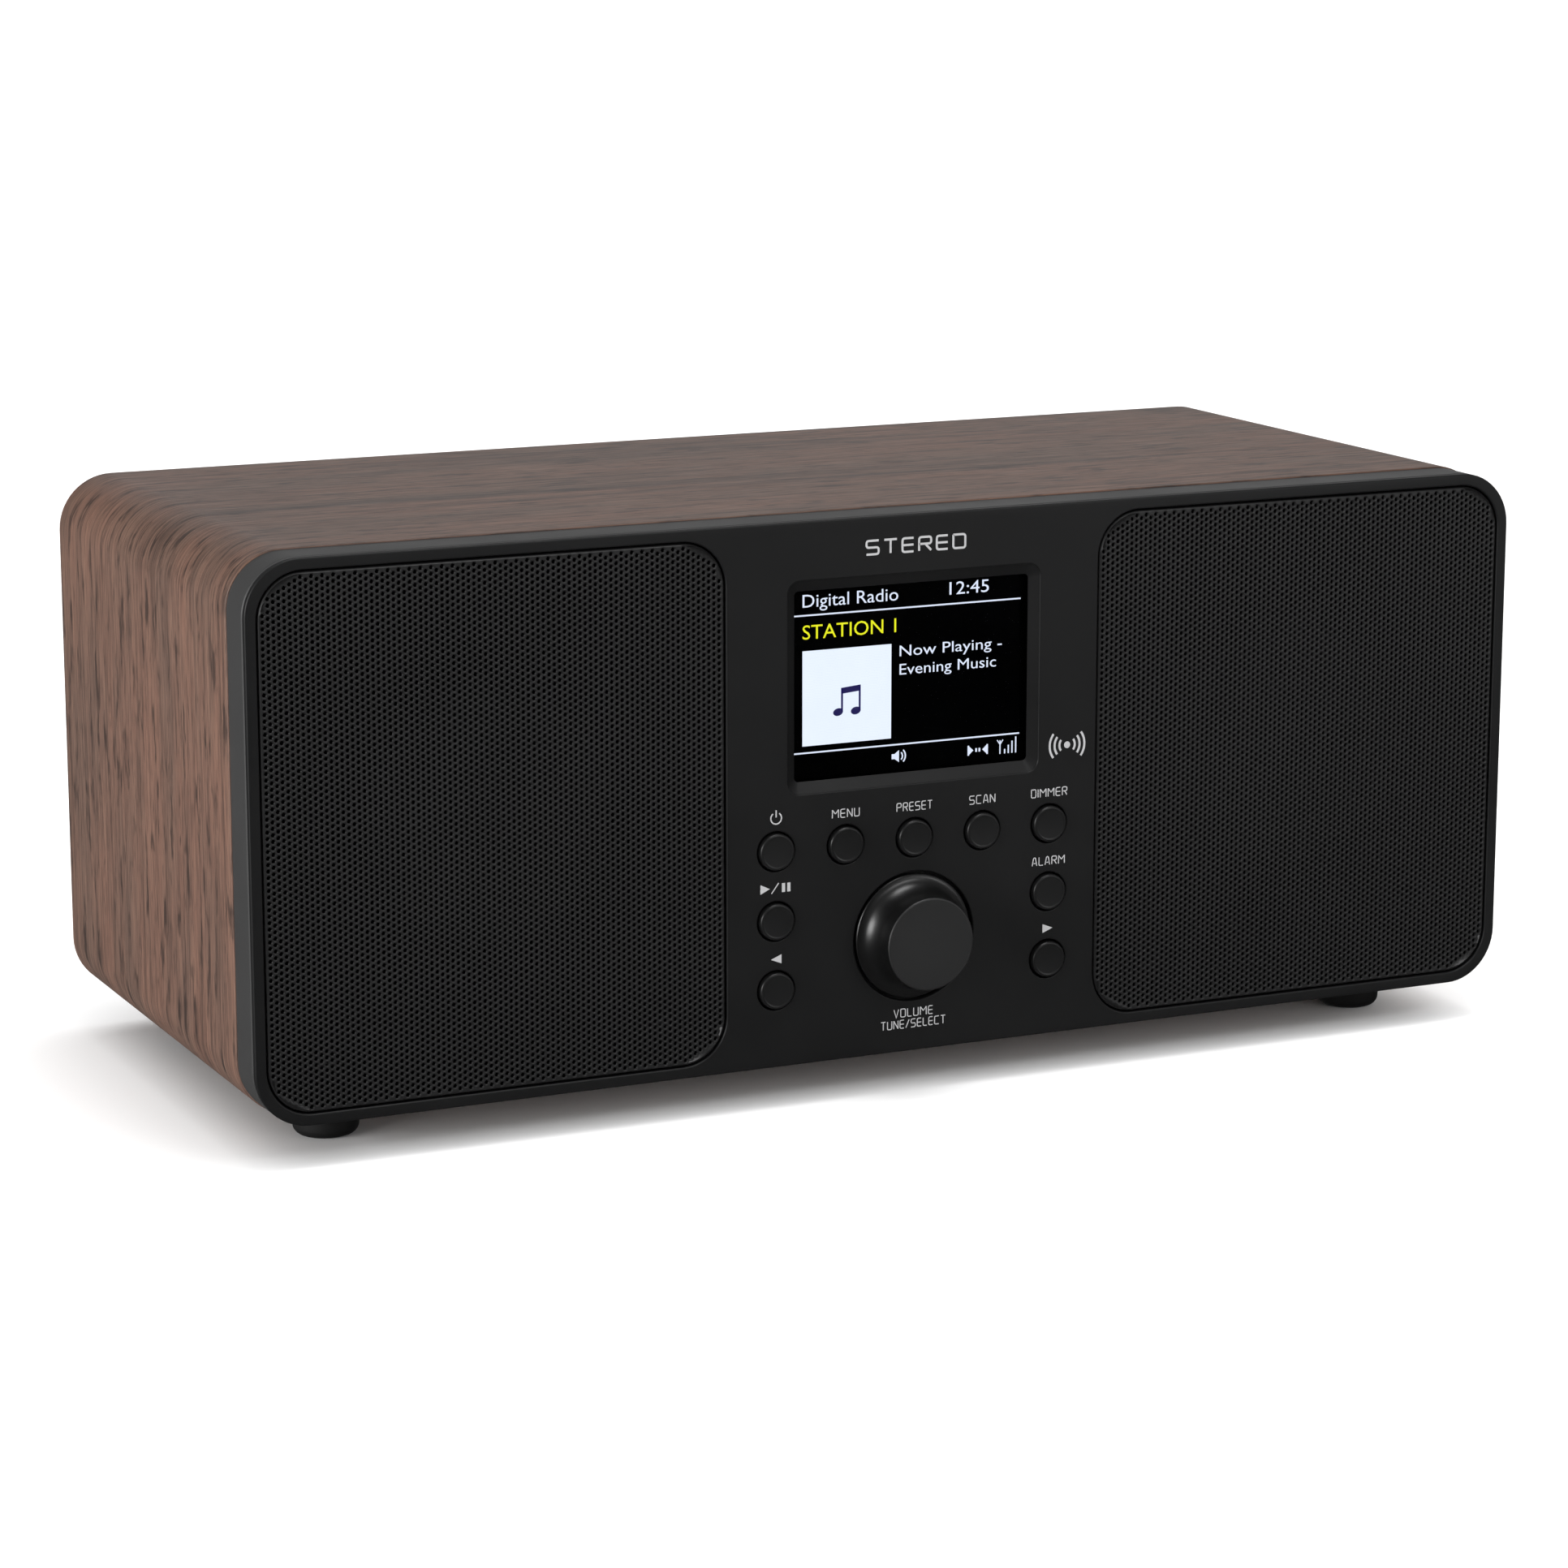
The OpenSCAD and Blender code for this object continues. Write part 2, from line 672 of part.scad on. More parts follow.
// Turning fork that holds the antenna's tilt joint
module antenna_knuckle() {
    base_y = panel_y + 2.1;
    base_t = 1.5;
    ear_z = tongue_t / 2 + 0.1;
    color("#b4b7b9") difference() {
        union() {
            y_cylinder(pivot_x, bush_end_y, pivot_z, stem_r, base_y - bush_end_y + 0.5);
            y_cylinder(pivot_x, base_y, pivot_z, 6.2, base_t);
            for (s = [0, 1]) {
                z0 = pivot_z + (s == 0 ? ear_z : -ear_z - ear_t);
                translate([pivot_x, rod_y, z0]) cylinder(r = ear_r, h = ear_t);
                span([pivot_x - ear_r, base_y + 1, z0], [pivot_x + ear_r, rod_y, z0 + ear_t]);
            }
        }
        translate([pivot_x, rod_y, pivot_z - 10]) cylinder(r = pin_r + 0.02, h = 20);
    }
}

module antenna_pin() {
    half = tongue_t / 2 + 0.1 + ear_t;
    color("#8d9092") translate([pivot_x, rod_y, pivot_z - half]) cylinder(r = pin_r, h = 2 * half);
}

// Outer radius of antenna section k, counted from 0 at the thick end
function section_r(k) = antenna_r - k * (tube_wall + antenna_gap);

// Inner end of section k, clear of the closed end of the section before
function section_x(k) = pivot_x - 12 - 1.3 * k;

// Tilting first section: a tongue in the fork, and the widest tube
module antenna_tube_1() {
    tube_x = pivot_x - 6;
    color("#c4c7c9") difference() {
        union() {
            translate([pivot_x, rod_y, pivot_z - tongue_t / 2]) cylinder(r = tongue_r, h = tongue_t);
            span([pivot_x - 7, rod_y - 2, pivot_z - 2], [pivot_x, rod_y + 2, pivot_z + 2]);
            translate([tube_x, rod_y, pivot_z]) rotate([0, -90, 0]) cylinder(r = antenna_r, h = antenna_len);
        }
        translate([pivot_x, rod_y, pivot_z - 5]) cylinder(r = pin_r + shaft_gap, h = 10);
        translate([tube_x - 4, rod_y, pivot_z]) rotate([0, -90, 0])
            cylinder(r = section_r(0) - tube_wall, h = antenna_len);
    }
}

// Sliding section k, each one a little further out than the last
module antenna_section(k) {
    length = antenna_len - 6 + k * 3;
    color("#c4c7c9") translate([section_x(k), rod_y, pivot_z]) rotate([0, -90, 0]) difference() {
        cylinder(r = section_r(k), h = length);
        translate([0, 0, 1]) cylinder(r = section_r(k) - tube_wall, h = length);
    }
}

// Solid last section with its end cap
module antenna_tip() {
    last = 4;
    length = antenna_len - 6 + last * 3;
    color("#c4c7c9") translate([section_x(last), rod_y, pivot_z]) rotate([0, -90, 0]) {
        cylinder(r = section_r(last), h = length);
        translate([0, 0, length - eps]) cylinder(r = antenna_r, h = 6);
    }
}

// Rubber foot, slightly tapered, with a rounded lower edge and a sunk screw hole
module foot(sx, sy) {
    round_r = 2.2;
    steps = 6;
    low_r = foot_r - 0.5;
    edge = [for (i = [0:steps]) [low_r - round_r + round_r * sin(90 * i / steps),
        round_r - round_r * cos(90 * i / steps)]];
    color("#161616") translate([sx * foot_x, sy * foot_y, 0]) difference() {
        rotate_extrude() polygon(concat([[0, 0]], edge, [[foot_r, foot_h], [0, foot_h]]));
        translate([0, 0, -1]) cylinder(r = 3.4, h = foot_seat + 1);
        cylinder(r = 1.8, h = 20);
    }
}

module foot_screws() {
    color("#b9bcbe") for (sx = [-1, 1], sy = [-1, 1])
        translate([sx * foot_x, sy * foot_y, foot_seat]) mirror([0, 0, 1]) screw(3, 1.8, 1.4, 9);
}

cabinet();
front_frame();
fascia();
grille(LEFT);  // grille_left
grille(RIGHT);  // grille_right
display_window();
display_module();
button(0);  // power_button
button(1);  // menu_button
button(2);  // preset_button
button(3);  // scan_button
button(4);  // dimmer_button
button(5);  // play_pause_button
button(6);  // alarm_button
button(7);  // previous_button
button(8);  // next_button
tuning_knob();
encoder_shaft();
encoder_plunger();
encoder_body();
control_board();
switch_bodies();
main_board();
board_standoffs();
board_screws();
tuner_module();
heat_sink();
capacitors();
speaker_frame(LEFT);  // speaker_frame_left
speaker_frame(RIGHT);  // speaker_frame_right
speaker_magnet(LEFT);  // speaker_magnet_left
speaker_magnet(RIGHT);  // speaker_magnet_right
speaker_cone(LEFT);  // speaker_cone_left
speaker_cone(RIGHT);  // speaker_cone_right
speaker_surround(LEFT);  // speaker_surround_left
speaker_surround(RIGHT);  // speaker_surround_right
speaker_screws();
speaker_lead(LEFT);  // speaker_lead_left
speaker_lead(RIGHT);  // speaker_lead_right
back_panel();
back_screws();
dc_jack();
audio_jack(headphone_x);  // headphone_jack
audio_jack(aux_x);  // aux_jack
antenna_bracket();
antenna_knuckle();
antenna_pin();
antenna_lead();
antenna_tube_1();
antenna_section(1);  // antenna_tube_2
antenna_section(2);  // antenna_tube_3
antenna_section(3);  // antenna_tube_4
antenna_tip();
foot(-1, -1);  // foot_front_left
foot(1, -1);  // foot_front_right
foot(-1, 1);  // foot_back_left
foot(1, 1);  // foot_back_right
foot_screws();
ribbon_cable();
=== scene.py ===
import json
import math

import bmesh
import bpy
import numpy as np
from mathutils import Matrix, Vector
from mathutils.geometry import delaunay_2d_cdt


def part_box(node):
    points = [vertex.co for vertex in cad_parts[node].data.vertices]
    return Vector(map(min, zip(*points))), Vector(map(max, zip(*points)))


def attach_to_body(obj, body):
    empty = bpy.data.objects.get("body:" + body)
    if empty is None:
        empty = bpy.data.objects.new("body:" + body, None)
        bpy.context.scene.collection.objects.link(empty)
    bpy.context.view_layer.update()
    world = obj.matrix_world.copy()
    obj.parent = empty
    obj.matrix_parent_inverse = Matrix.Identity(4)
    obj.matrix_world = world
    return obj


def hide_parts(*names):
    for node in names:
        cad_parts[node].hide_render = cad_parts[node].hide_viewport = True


# Looks of the tabletop radio. Lengths are in millimetres up to make(), which turns them
# into metres. Outlines are lists of (x, z) points, anticlockwise as seen from the front.

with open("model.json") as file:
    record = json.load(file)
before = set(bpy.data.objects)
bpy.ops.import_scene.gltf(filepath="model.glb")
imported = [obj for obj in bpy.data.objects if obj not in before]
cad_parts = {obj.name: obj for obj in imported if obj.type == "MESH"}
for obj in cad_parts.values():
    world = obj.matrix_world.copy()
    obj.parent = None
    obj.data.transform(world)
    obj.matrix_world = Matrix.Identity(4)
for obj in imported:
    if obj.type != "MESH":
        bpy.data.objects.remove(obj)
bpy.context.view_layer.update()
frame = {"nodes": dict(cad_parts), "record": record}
MM = 0.001
HOUSING = "housing"
SLOT_OF = {s["node"]: s["material_slot"] for s in frame["record"]["subparts"]}
scene = bpy.context.scene
scene.view_settings.view_transform = "Standard"


def box(node):
    """Lowest and highest corner of a CAD node at rest, in millimetres."""
    lo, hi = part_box(node)
    return lo / MM, hi / MM


# ---------------------------------------------------------------- outlines and meshes

def rounded(w, h, r, cx=0.0, cz=0.0, n=10):
    """A rectangle with round corners."""
    pts = []
    for k, (sx, sz) in enumerate(((1, 1), (-1, 1), (-1, -1), (1, -1))):
        for i in range(n + 1):
            a = math.radians(90 * (k + i / n))
            pts.append((cx + sx * (w / 2 - r) + r * math.cos(a),
                        cz + sz * (h / 2 - r) + r * math.sin(a)))
    return pts


def circle(r, cx=0.0, cz=0.0, n=64):
    return [(cx + r * math.cos(2 * math.pi * i / n), cz + r * math.sin(2 * math.pi * i / n))
            for i in range(n)]


def inside(points, loop):
    """Which of the points lie inside a closed outline, by the even-odd rule."""
    p, a = np.asarray(points, float), np.asarray(loop, float)
    b = np.roll(a, -1, axis=0)
    x, z = p[:, :1], p[:, 1:]
    spans = (a[:, 1] > z) != (b[:, 1] > z)
    rise = np.where(b[:, 1] == a[:, 1], 1e-12, b[:, 1] - a[:, 1])
    cross = a[:, 0] + (z - a[:, 1]) * (b[:, 0] - a[:, 0]) / rise
    return (spans & (x < cross)).sum(1) % 2 == 1


def flat_region(outer, holes):
    """Triangles that fill an outline around its holes: (points, triangles)."""
    pts, edges = [], []
    for loop in [outer, *holes]:
        base = len(pts)
        pts += loop
        edges += [(base + i, base + (i + 1) % len(loop)) for i in range(len(loop))]
    out = delaunay_2d_cdt([Vector(p) for p in pts], edges, [], 0, 1e-6)
    verts = np.array([tuple(v) for v in out[0]])
    tris = np.array([list(f) for f in out[2]])
    mid = verts[tris].mean(1)
    keep = inside(mid, outer)
    for loop in holes:
        keep &= ~inside(mid, loop)
    return verts, tris[keep]


class Shape:
    """Points in millimetres, faces, and optional (u, v) for each corner of each face.

    New faces take the material number in paint: 0 is the piece's own, 1 the near-black cloth, whose darkness
    is painted shade for the space behind the grille."""

    def __init__(self):
        self.verts, self.faces, self.uvs = [], [], []
        self.paint, self.paints = 0, []

    def add(self, verts, faces, uvs=None):
        base = len(self.verts)
        self.verts += [tuple(map(float, v)) for v in verts]
        self.faces += [tuple(int(base + i) for i in f) for f in faces]
        self.uvs += uvs or [[(0, 0)] * len(f) for f in faces]
        self.paints += [self.paint] * len(faces)

    def loft(self, rings, closed=False):
        """Quads between rings of equal length, each a list of (x, y, z)."""
        n = len(rings[0])
        pairs = list(zip(rings, rings[1:])) + ([(rings[-1], rings[0])] if closed else [])
        for a, b in pairs:
            self.add(a + b, [(i, (i + 1) % n, n + (i + 1) % n, n + i) for i in range(n)])

    def fill(self, y, outer, holes=(), flip=False):
        """A flat face at y with holes; it faces the front unless flipped."""
        verts, tris = flat_region(outer, list(holes))
        tris = tris[:, ::-1] if flip else tris
        self.add([(x, y, z) for x, z in verts], tris)

    def block(self, lo, hi):
        (x0, y0, z0), (x1, y1, z1) = lo, hi
        v = [(x, y, z) for x in (x0, x1) for y in (y0, y1) for z in (z0, z1)]
        self.add(v, [(0, 1, 3, 2), (4, 6, 7, 5), (0, 4, 5, 1),
                     (2, 3, 7, 6), (0, 2, 6, 4), (1, 5, 7, 3)])

    def prism(self, loop, y0, y1):
        """An outline from y0, its front, to y1, closed at both ends."""
        self.fill(y0, loop)
        self.fill(y1, loop, flip=True)
        self.loft([at(loop, y0), at(loop, y1)])

    def lathe(self, x, z, profile, n=64):
        """A profile of (radius, y) turned about the Y axis through (x, z)."""
        rings = [at(circle(max(r, 1e-4), x, z, n), y) for r, y in profile]
        self.loft(rings)


def at(loop, y):
    return [(x, y, z) for x, z in loop]


def arc(e, n=3):
    """A quarter round of size e: (inset still left, depth), from the flat face to the side."""
    return [(e * (1 - math.sin(math.radians(90 * i / n))),
             e * (1 - math.cos(math.radians(90 * i / n)))) for i in range(n + 1)]


def make(name, body, shape, material, replaces=(), angle=35, recalc=True, uv=False):
    """Turns a Shape into a piece that rides on a body."""
    mesh = bpy.data.meshes.new(name)
    mesh.from_pydata([(x * MM, y * MM, z * MM) for x, y, z in shape.verts], [], shape.faces)
    mesh.polygons.foreach_set("material_index", shape.paints)
    if uv:
        layer = mesh.uv_layers.new(name="wrap")
        flat = [c for face in shape.uvs for p in face for c in p]
        layer.data.foreach_set("uv", flat)
    bm = bmesh.new()
    bm.from_mesh(mesh)
    bmesh.ops.remove_doubles(bm, verts=bm.verts, dist=1e-6)
    bmesh.ops.dissolve_degenerate(bm, edges=bm.edges, dist=1e-7)
    if recalc:
        bmesh.ops.recalc_face_normals(bm, faces=bm.faces)
    bm.to_mesh(mesh)
    bm.free()
    mesh.polygons.foreach_set("use_smooth", [True] * len(mesh.polygons))
    mesh.set_sharp_from_angle(angle=math.radians(angle))
    mesh.materials.append(material)
    # second material: the near-black cloth, painted shade behind the grille holes
    if any(shape.paints):
        mesh.materials.append(FINISH["painted_shade_cloth"])
    obj = bpy.data.objects.new(name, mesh)
    scene.collection.objects.link(obj)
    if angle < 180:
        even = obj.modifiers.new("even_shading", "WEIGHTED_NORMAL")
        even.keep_sharp = True
        even.weight = 100
    return attach(obj, body, replaces)


def attach(obj, body, replaces=()):
    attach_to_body(obj, body)
    if replaces:
        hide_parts(*replaces)
    return obj


# ---------------------------------------------------------------- materials

class Look:
    """A node material around one Principled shader."""

    def __init__(self, name, **sockets):
        self.mat = bpy.data.materials.new(name)
        self.mat.use_nodes = True
        self.tree = self.mat.node_tree
        self.tree.nodes.clear()
        self.out = self.tree.nodes.new("ShaderNodeOutputMaterial")
        self.bsdf = self.tree.nodes.new("ShaderNodeBsdfPrincipled")
        self.tree.links.new(self.bsdf.outputs[0], self.out.inputs[0])
        for key, value in sockets.items():
            self.set(self.bsdf, key.replace("_", " "), value)
        self.coords = self.tree.nodes.new("ShaderNodeTexCoord")

    def set(self, node, key, value):
        socket = node.inputs[key]
        if isinstance(value, bpy.types.NodeSocket):
            self.tree.links.new(value, socket)
        elif isinstance(value, (tuple, list)) and len(value) == 3 and socket.type == "RGBA":
            socket.default_value = (*value, 1)
        else:
            socket.default_value = value

    def node(self, kind, out=0, props=None, **inputs):
        n = self.tree.nodes.new("ShaderNode" + kind)
        for k, v in (props or {}).items():
            setattr(n, k, v)
        for k, v in inputs.items():
            self.set(n, int(k[1:]) if k[0] == "i" and k[1:].isdigit() else k.replace("_", " "), v)
        return n.outputs[out]

    def place(self, scale, kind="Object"):
        return self.node("Mapping", Vector=self.coords.outputs[kind], Scale=scale)

    def noise(self, vector, scale=1.0, detail=3.0, rough=0.55):
        return self.node("TexNoise", Vector=vector, Scale=scale, Detail=detail, Roughness=rough)

    def math(self, op, a, b=0.5, clamp=False):
        return self.node("Math", props={"operation": op, "use_clamp": clamp}, i0=a, i1=b)

    def spread(self, value, low, high, frm=(0.3, 0.7)):
        """A value from one range to another, held at its ends."""
        n = self.tree.nodes.new("ShaderNodeMapRange")
        for key, v in (("Value", value), ("From Min", frm[0]), ("From Max", frm[1]),
                       ("To Min", low), ("To Max", high)):
            self.set(n, key, v)
        return n.outputs[0]

    def blend(self, factor, a, b, mode="MIX"):
        n = self.tree.nodes.new("ShaderNodeMix")
        n.data_type, n.blend_type = "RGBA", mode
        self.set(n, 0, factor)
        self.set(n, 6, a)
        self.set(n, 7, b)
        return n.outputs[2]

    def bump(self, height, strength, distance):
        self.set(self.bsdf, "Normal", self.node(
            "Bump", Height=height, Strength=strength, Distance=distance))


def tinted(colour, factor):
    return tuple(min(1.0, c * factor) for c in colour)


def moulded(name, colour, rough, grain=0.18, depth=0.012, mottle=0.12, spec=0.5, **extra):
    """Moulded plastic, rubber or paint: fine grain in mm, faint mottling and handling shine."""
    m = Look(name, Specular_IOR_Level=spec, **extra)
    fine = m.noise(m.place((1, 1, 1)), 1 / (grain * MM), 2.0)
    broad = m.noise(m.place((1, 1, 1)), 38.0, 4.0)
    mixed = m.math("ADD", m.math("MULTIPLY", fine, 0.35), m.math("MULTIPLY", broad, 0.65))
    m.set(m.bsdf, "Base Color", m.blend(
        m.spread(mixed, 0, 1), tinted(colour, 1 - mottle), tinted(colour, 1 + mottle)))
    m.set(m.bsdf, "Roughness", m.spread(broad, rough - 0.05, rough + 0.06))
    m.bump(fine, 0.6, depth * MM)
    return m.mat


def metal(name, colour, rough, streak=(1, 1, 1), depth=0.004):
    """Bare or plated metal with faint drawn streaks."""
    m = Look(name, Metallic=1.0)
    lines = m.noise(m.place(streak), 700.0, 3.0)
    cloud = m.noise(m.place((1, 1, 1)), 60.0, 3.0)
    m.set(m.bsdf, "Base Color", m.blend(
        m.spread(cloud, 0, 1), tinted(colour, 0.9), tinted(colour, 1.06)))
    m.set(m.bsdf, "Roughness", m.spread(lines, rough * 0.75, rough * 1.3))
    m.bump(lines, 0.4, depth * MM)
    return m.mat


def lit(name, colour, strength=1.0):
    """Lit pixels of the screen: the rows show as faint lines."""
    m = Look(name, Base_Color=(0.01, 0.01, 0.012), Roughness=0.4, Emission_Strength=strength)
    rows = m.node("TexWave", out=1, props={"bands_direction": "Z"},
                  Vector=m.place((1, 1, 1)), Scale=900.0, Distortion=0.0)
    soft = m.noise(m.place((1, 1, 1)), 120.0)
    dim = m.blend(m.spread(soft, 0.0, 1.0), tinted(colour, 0.95), colour)
    m.set(m.bsdf, "Emission Color", m.blend(m.spread(rows, 0.0, 1.0, (0, 1)), tinted(colour, 0.93), dim))
    return m.mat


def walnut():
    """Printed walnut wrap; U runs along the grain and V across it, both in metres."""
    m = Look("walnut_wrap", Specular_IOR_Level=0.5)
    base = m.place((1, 1, 1), "UV")
    bend = m.noise(m.place((7, 22, 1), "UV"), 1.0, 2.0)
    sway = m.node("CombineXYZ", X=0.0, Y=m.math("MULTIPLY", m.math("SUBTRACT", bend), 0.004), Z=0.0)
    warped = m.node("VectorMath", props={"operation": "ADD"}, i0=base, i1=sway)

    def along(u, v, detail=3.0, rough=0.6):
        return m.noise(m.node("Mapping", Vector=warped, Scale=(u, v, 1)), 1.0, detail, rough)

    bands = along(11, 62, 3.0)
    lines = along(2.6, 150, 2.0, 0.4)
    streaks = along(16, 520, 4.0)
    fibres = along(60, 1500, 3.0, 0.75)
    dashes = along(60, 310, 3.0, 0.7)
    pores = along(130, 1900, 2.0)
    c = m.blend(m.spread(bands, 0, 1, (0.38, 0.62)), WOOD_GREY, WOOD_RED)
    c = m.blend(m.spread(lines, 0.75, 0, (0.30, 0.42)), c, WOOD_DARK)
    c = m.blend(m.spread(streaks, 0.40, 0, (0.34, 0.50)), c, WOOD_DARK)
    c = m.blend(m.spread(streaks, 0.0, 0.35, (0.52, 0.68)), c, WOOD_LIGHT)
    c = m.blend(m.spread(fibres, 0.55, 0.0, (0.36, 0.52)), c, WOOD_DARK)
    c = m.blend(m.spread(fibres, 0.0, 0.45, (0.50, 0.68)), c, WOOD_LIGHT)
    c = m.blend(m.spread(dashes, 0.85, 0.0, (0.36, 0.45)), c, WOOD_DARK)
    c = m.blend(m.spread(pores, 0.6, 0.0, (0.32, 0.42)), c, WOOD_PORE)
    m.set(m.bsdf, "Base Color", c)
    m.set(m.bsdf, "Roughness", m.spread(fibres, 0.5, 0.4))
    m.bump(m.math("ADD", fibres, pores), 0.35, 0.03 * MM)
    return m.mat


def two_finishes(name, y_edge, face, gloss):
    """Moulded plastic with a soft coat on the flat face in front of y_edge and gloss behind it.

    Each finish is (colour, roughness)."""
    m = Look(name, Specular_IOR_Level=0.8)
    y = m.node("SeparateXYZ", out=1, Vector=m.coords.outputs["Object"])
    behind = m.math("GREATER_THAN", y, y_edge * MM)
    fine = m.noise(m.place((1, 1, 1)), 1 / (0.12 * MM), 2.0)
    broad = m.noise(m.place((1, 1, 1)), 60.0, 3.0)
    soft = m.blend(m.spread(broad, 0, 1), tinted(face[0], 0.92), tinted(face[0], 1.08))
    hard = m.blend(m.spread(broad, 0, 1), tinted(gloss[0], 0.9), tinted(gloss[0], 1.1))
    m.set(m.bsdf, "Base Color", m.blend(behind, soft, hard))
    m.set(m.bsdf, "Roughness", m.math("ADD", m.spread(broad, -0.03, 0.03),
                                      m.spread(behind, face[1], gloss[1], (0, 1))))
    m.bump(fine, 0.4, 0.008 * MM)
    return m.mat


def window_glass():
    """Clear screen window: see-through, with a thin shine that grows at a slant."""
    m = Look("window_glass", Base_Color=(0.004, 0.004, 0.005), Specular_IOR_Level=0.5)
    dust = m.noise(m.place((1, 1, 1)), 90.0, 5.0)
    m.set(m.bsdf, "Roughness", m.spread(dust, 0.02, 0.08, (0.45, 0.8)))
    clear = m.node("BsdfTransparent", Color=(0.95, 0.96, 0.97))
    film = m.node("Fresnel", IOR=1.3)
    m.tree.links.new(m.node("MixShader", Fac=film, i1=clear, i2=m.bsdf.outputs[0]), m.out.inputs[0])
    return m.mat


WOOD_RED = (0.215, 0.112, 0.078)
WOOD_GREY = (0.155, 0.092, 0.068)
WOOD_DARK = (0.042, 0.026, 0.021)
WOOD_LIGHT = (0.270, 0.160, 0.112)
WOOD_PORE = (0.022, 0.013, 0.011)

FINISH = {
    "wood_wrap": walnut(),
    "frame_plastic": moulded("frame_plastic", (0.040, 0.040, 0.040), 0.5, spec=0.6),
    "front_plastic": moulded("front_plastic", (0.0075, 0.0075, 0.0079), 0.46, spec=0.4),
    "grille_steel": moulded("grille_paint", (0.013, 0.013, 0.0133), 0.36, grain=0.3, spec=0.6),
    "window_glass": window_glass(),
    "screen_panel": moulded("screen_panel", (0.0008, 0.0008, 0.001), 0.15, spec=0.1),
    "knob_plastic": two_finishes("knob_plastic", box("tuning_knob")[0].y + 0.25,
                                 ((0.013, 0.013, 0.0134), 0.5), ((0.006, 0.006, 0.0062), 0.33)),
    "button_plastic": moulded("button_plastic", (0.009, 0.009, 0.0093), 0.34, grain=0.12, spec=0.5),
    "steel": metal("zinc_steel", (0.55, 0.56, 0.57), 0.32),
    "white_plastic": moulded("white_plastic", (0.60, 0.58, 0.50), 0.5),
    "can_metal": metal("can_metal", (0.56, 0.57, 0.58), 0.36),
    "circuit_board": moulded("circuit_board", (0.012, 0.075, 0.032), 0.35, grain=0.5, mottle=0.3),
    "component_plastic": moulded("component_plastic", (0.014, 0.014, 0.015), 0.38, grain=0.15),
    "cooler_aluminium": metal("cooler_aluminium", (0.60, 0.61, 0.62), 0.38, (1, 0.1, 1)),
    "lead_plastic": moulded("lead_plastic", (0.19, 0.018, 0.016), 0.35, depth=0.004),
    "back_plastic": moulded("back_plastic", (0.013, 0.013, 0.0135), 0.52, grain=0.45, depth=0.05),
    "black_steel": metal("black_zinc", (0.06, 0.06, 0.062), 0.35),
    "antenna_chrome": metal("antenna_chrome", (0.74, 0.75, 0.76), 0.13, (0.06, 1, 1), 0.002),
    "foot_rubber": moulded("foot_rubber", (0.010, 0.010, 0.010), 0.62, grain=0.25, depth=0.02, spec=0.35),
    "basket_steel": moulded("basket_paint", (0.002, 0.002, 0.002), 0.7, spec=0.1),
    "magnet_ferrite": moulded("magnet_ferrite", (0.03, 0.03, 0.032), 0.6, grain=0.3, mottle=0.25),
    # cone darker than black paper: partly its own black, partly painted shade behind the grille
    "cone_paper": moulded("cone_paper", (0.0015, 0.0015, 0.0015), 0.75, grain=0.35, depth=0.05, mottle=0.3),
    "ribbon_plastic": moulded("ribbon_plastic", (0.32, 0.34, 0.37), 0.4),
    # near-black cloth on the grille recess floor: painted shade standing in for the deep dark space behind
    # the holes
    "painted_shade_cloth": moulded("painted_shade_cloth", (0.0012, 0.0012, 0.0012), 0.8, grain=0.5, spec=0.05),
}

INK = moulded("label_ink", (0.50, 0.50, 0.51), 0.55, grain=0.06, depth=0.002, mottle=0.06)
BACK_INK = moulded("back_label_ink", (0.34, 0.34, 0.35), 0.6, grain=0.06, depth=0.002, mottle=0.06)
# surround darker than black rubber: partly its own black, partly painted shade behind the grille
SURROUND_RUBBER = moulded("surround_rubber", (0.0015, 0.0015, 0.0015), 0.7, grain=0.25, depth=0.02, spec=0.1)

for node_name, obj in frame["nodes"].items():
    surround = node_name.startswith("speaker_surround")
    obj.data.materials.clear()
    obj.data.materials.append(SURROUND_RUBBER if surround else FINISH[SLOT_OF[node_name]])

# ---------------------------------------------------------------- measures from the CAD

ring_lo, ring_hi = box("front_frame")
wood_lo, wood_hi = box("cabinet")
FRONT_Y = box("fascia")[0].y              # front face of the front plate
BODY_W, BODY_H = ring_hi.x - ring_lo.x, ring_hi.z - ring_lo.z
MID_Z = (ring_lo.z + ring_hi.z) / 2
BODY_Z = ring_lo.z
CORNER_R = 12.0
WOOD_Y0, WOOD_Y1 = wood_lo.y, wood_hi.y
WOOD_W, WOOD_H = wood_hi.x - wood_lo.x, wood_hi.z - wood_lo.z
WALL = 8.0


# ---------------------------------------------------------------- wooden sleeve

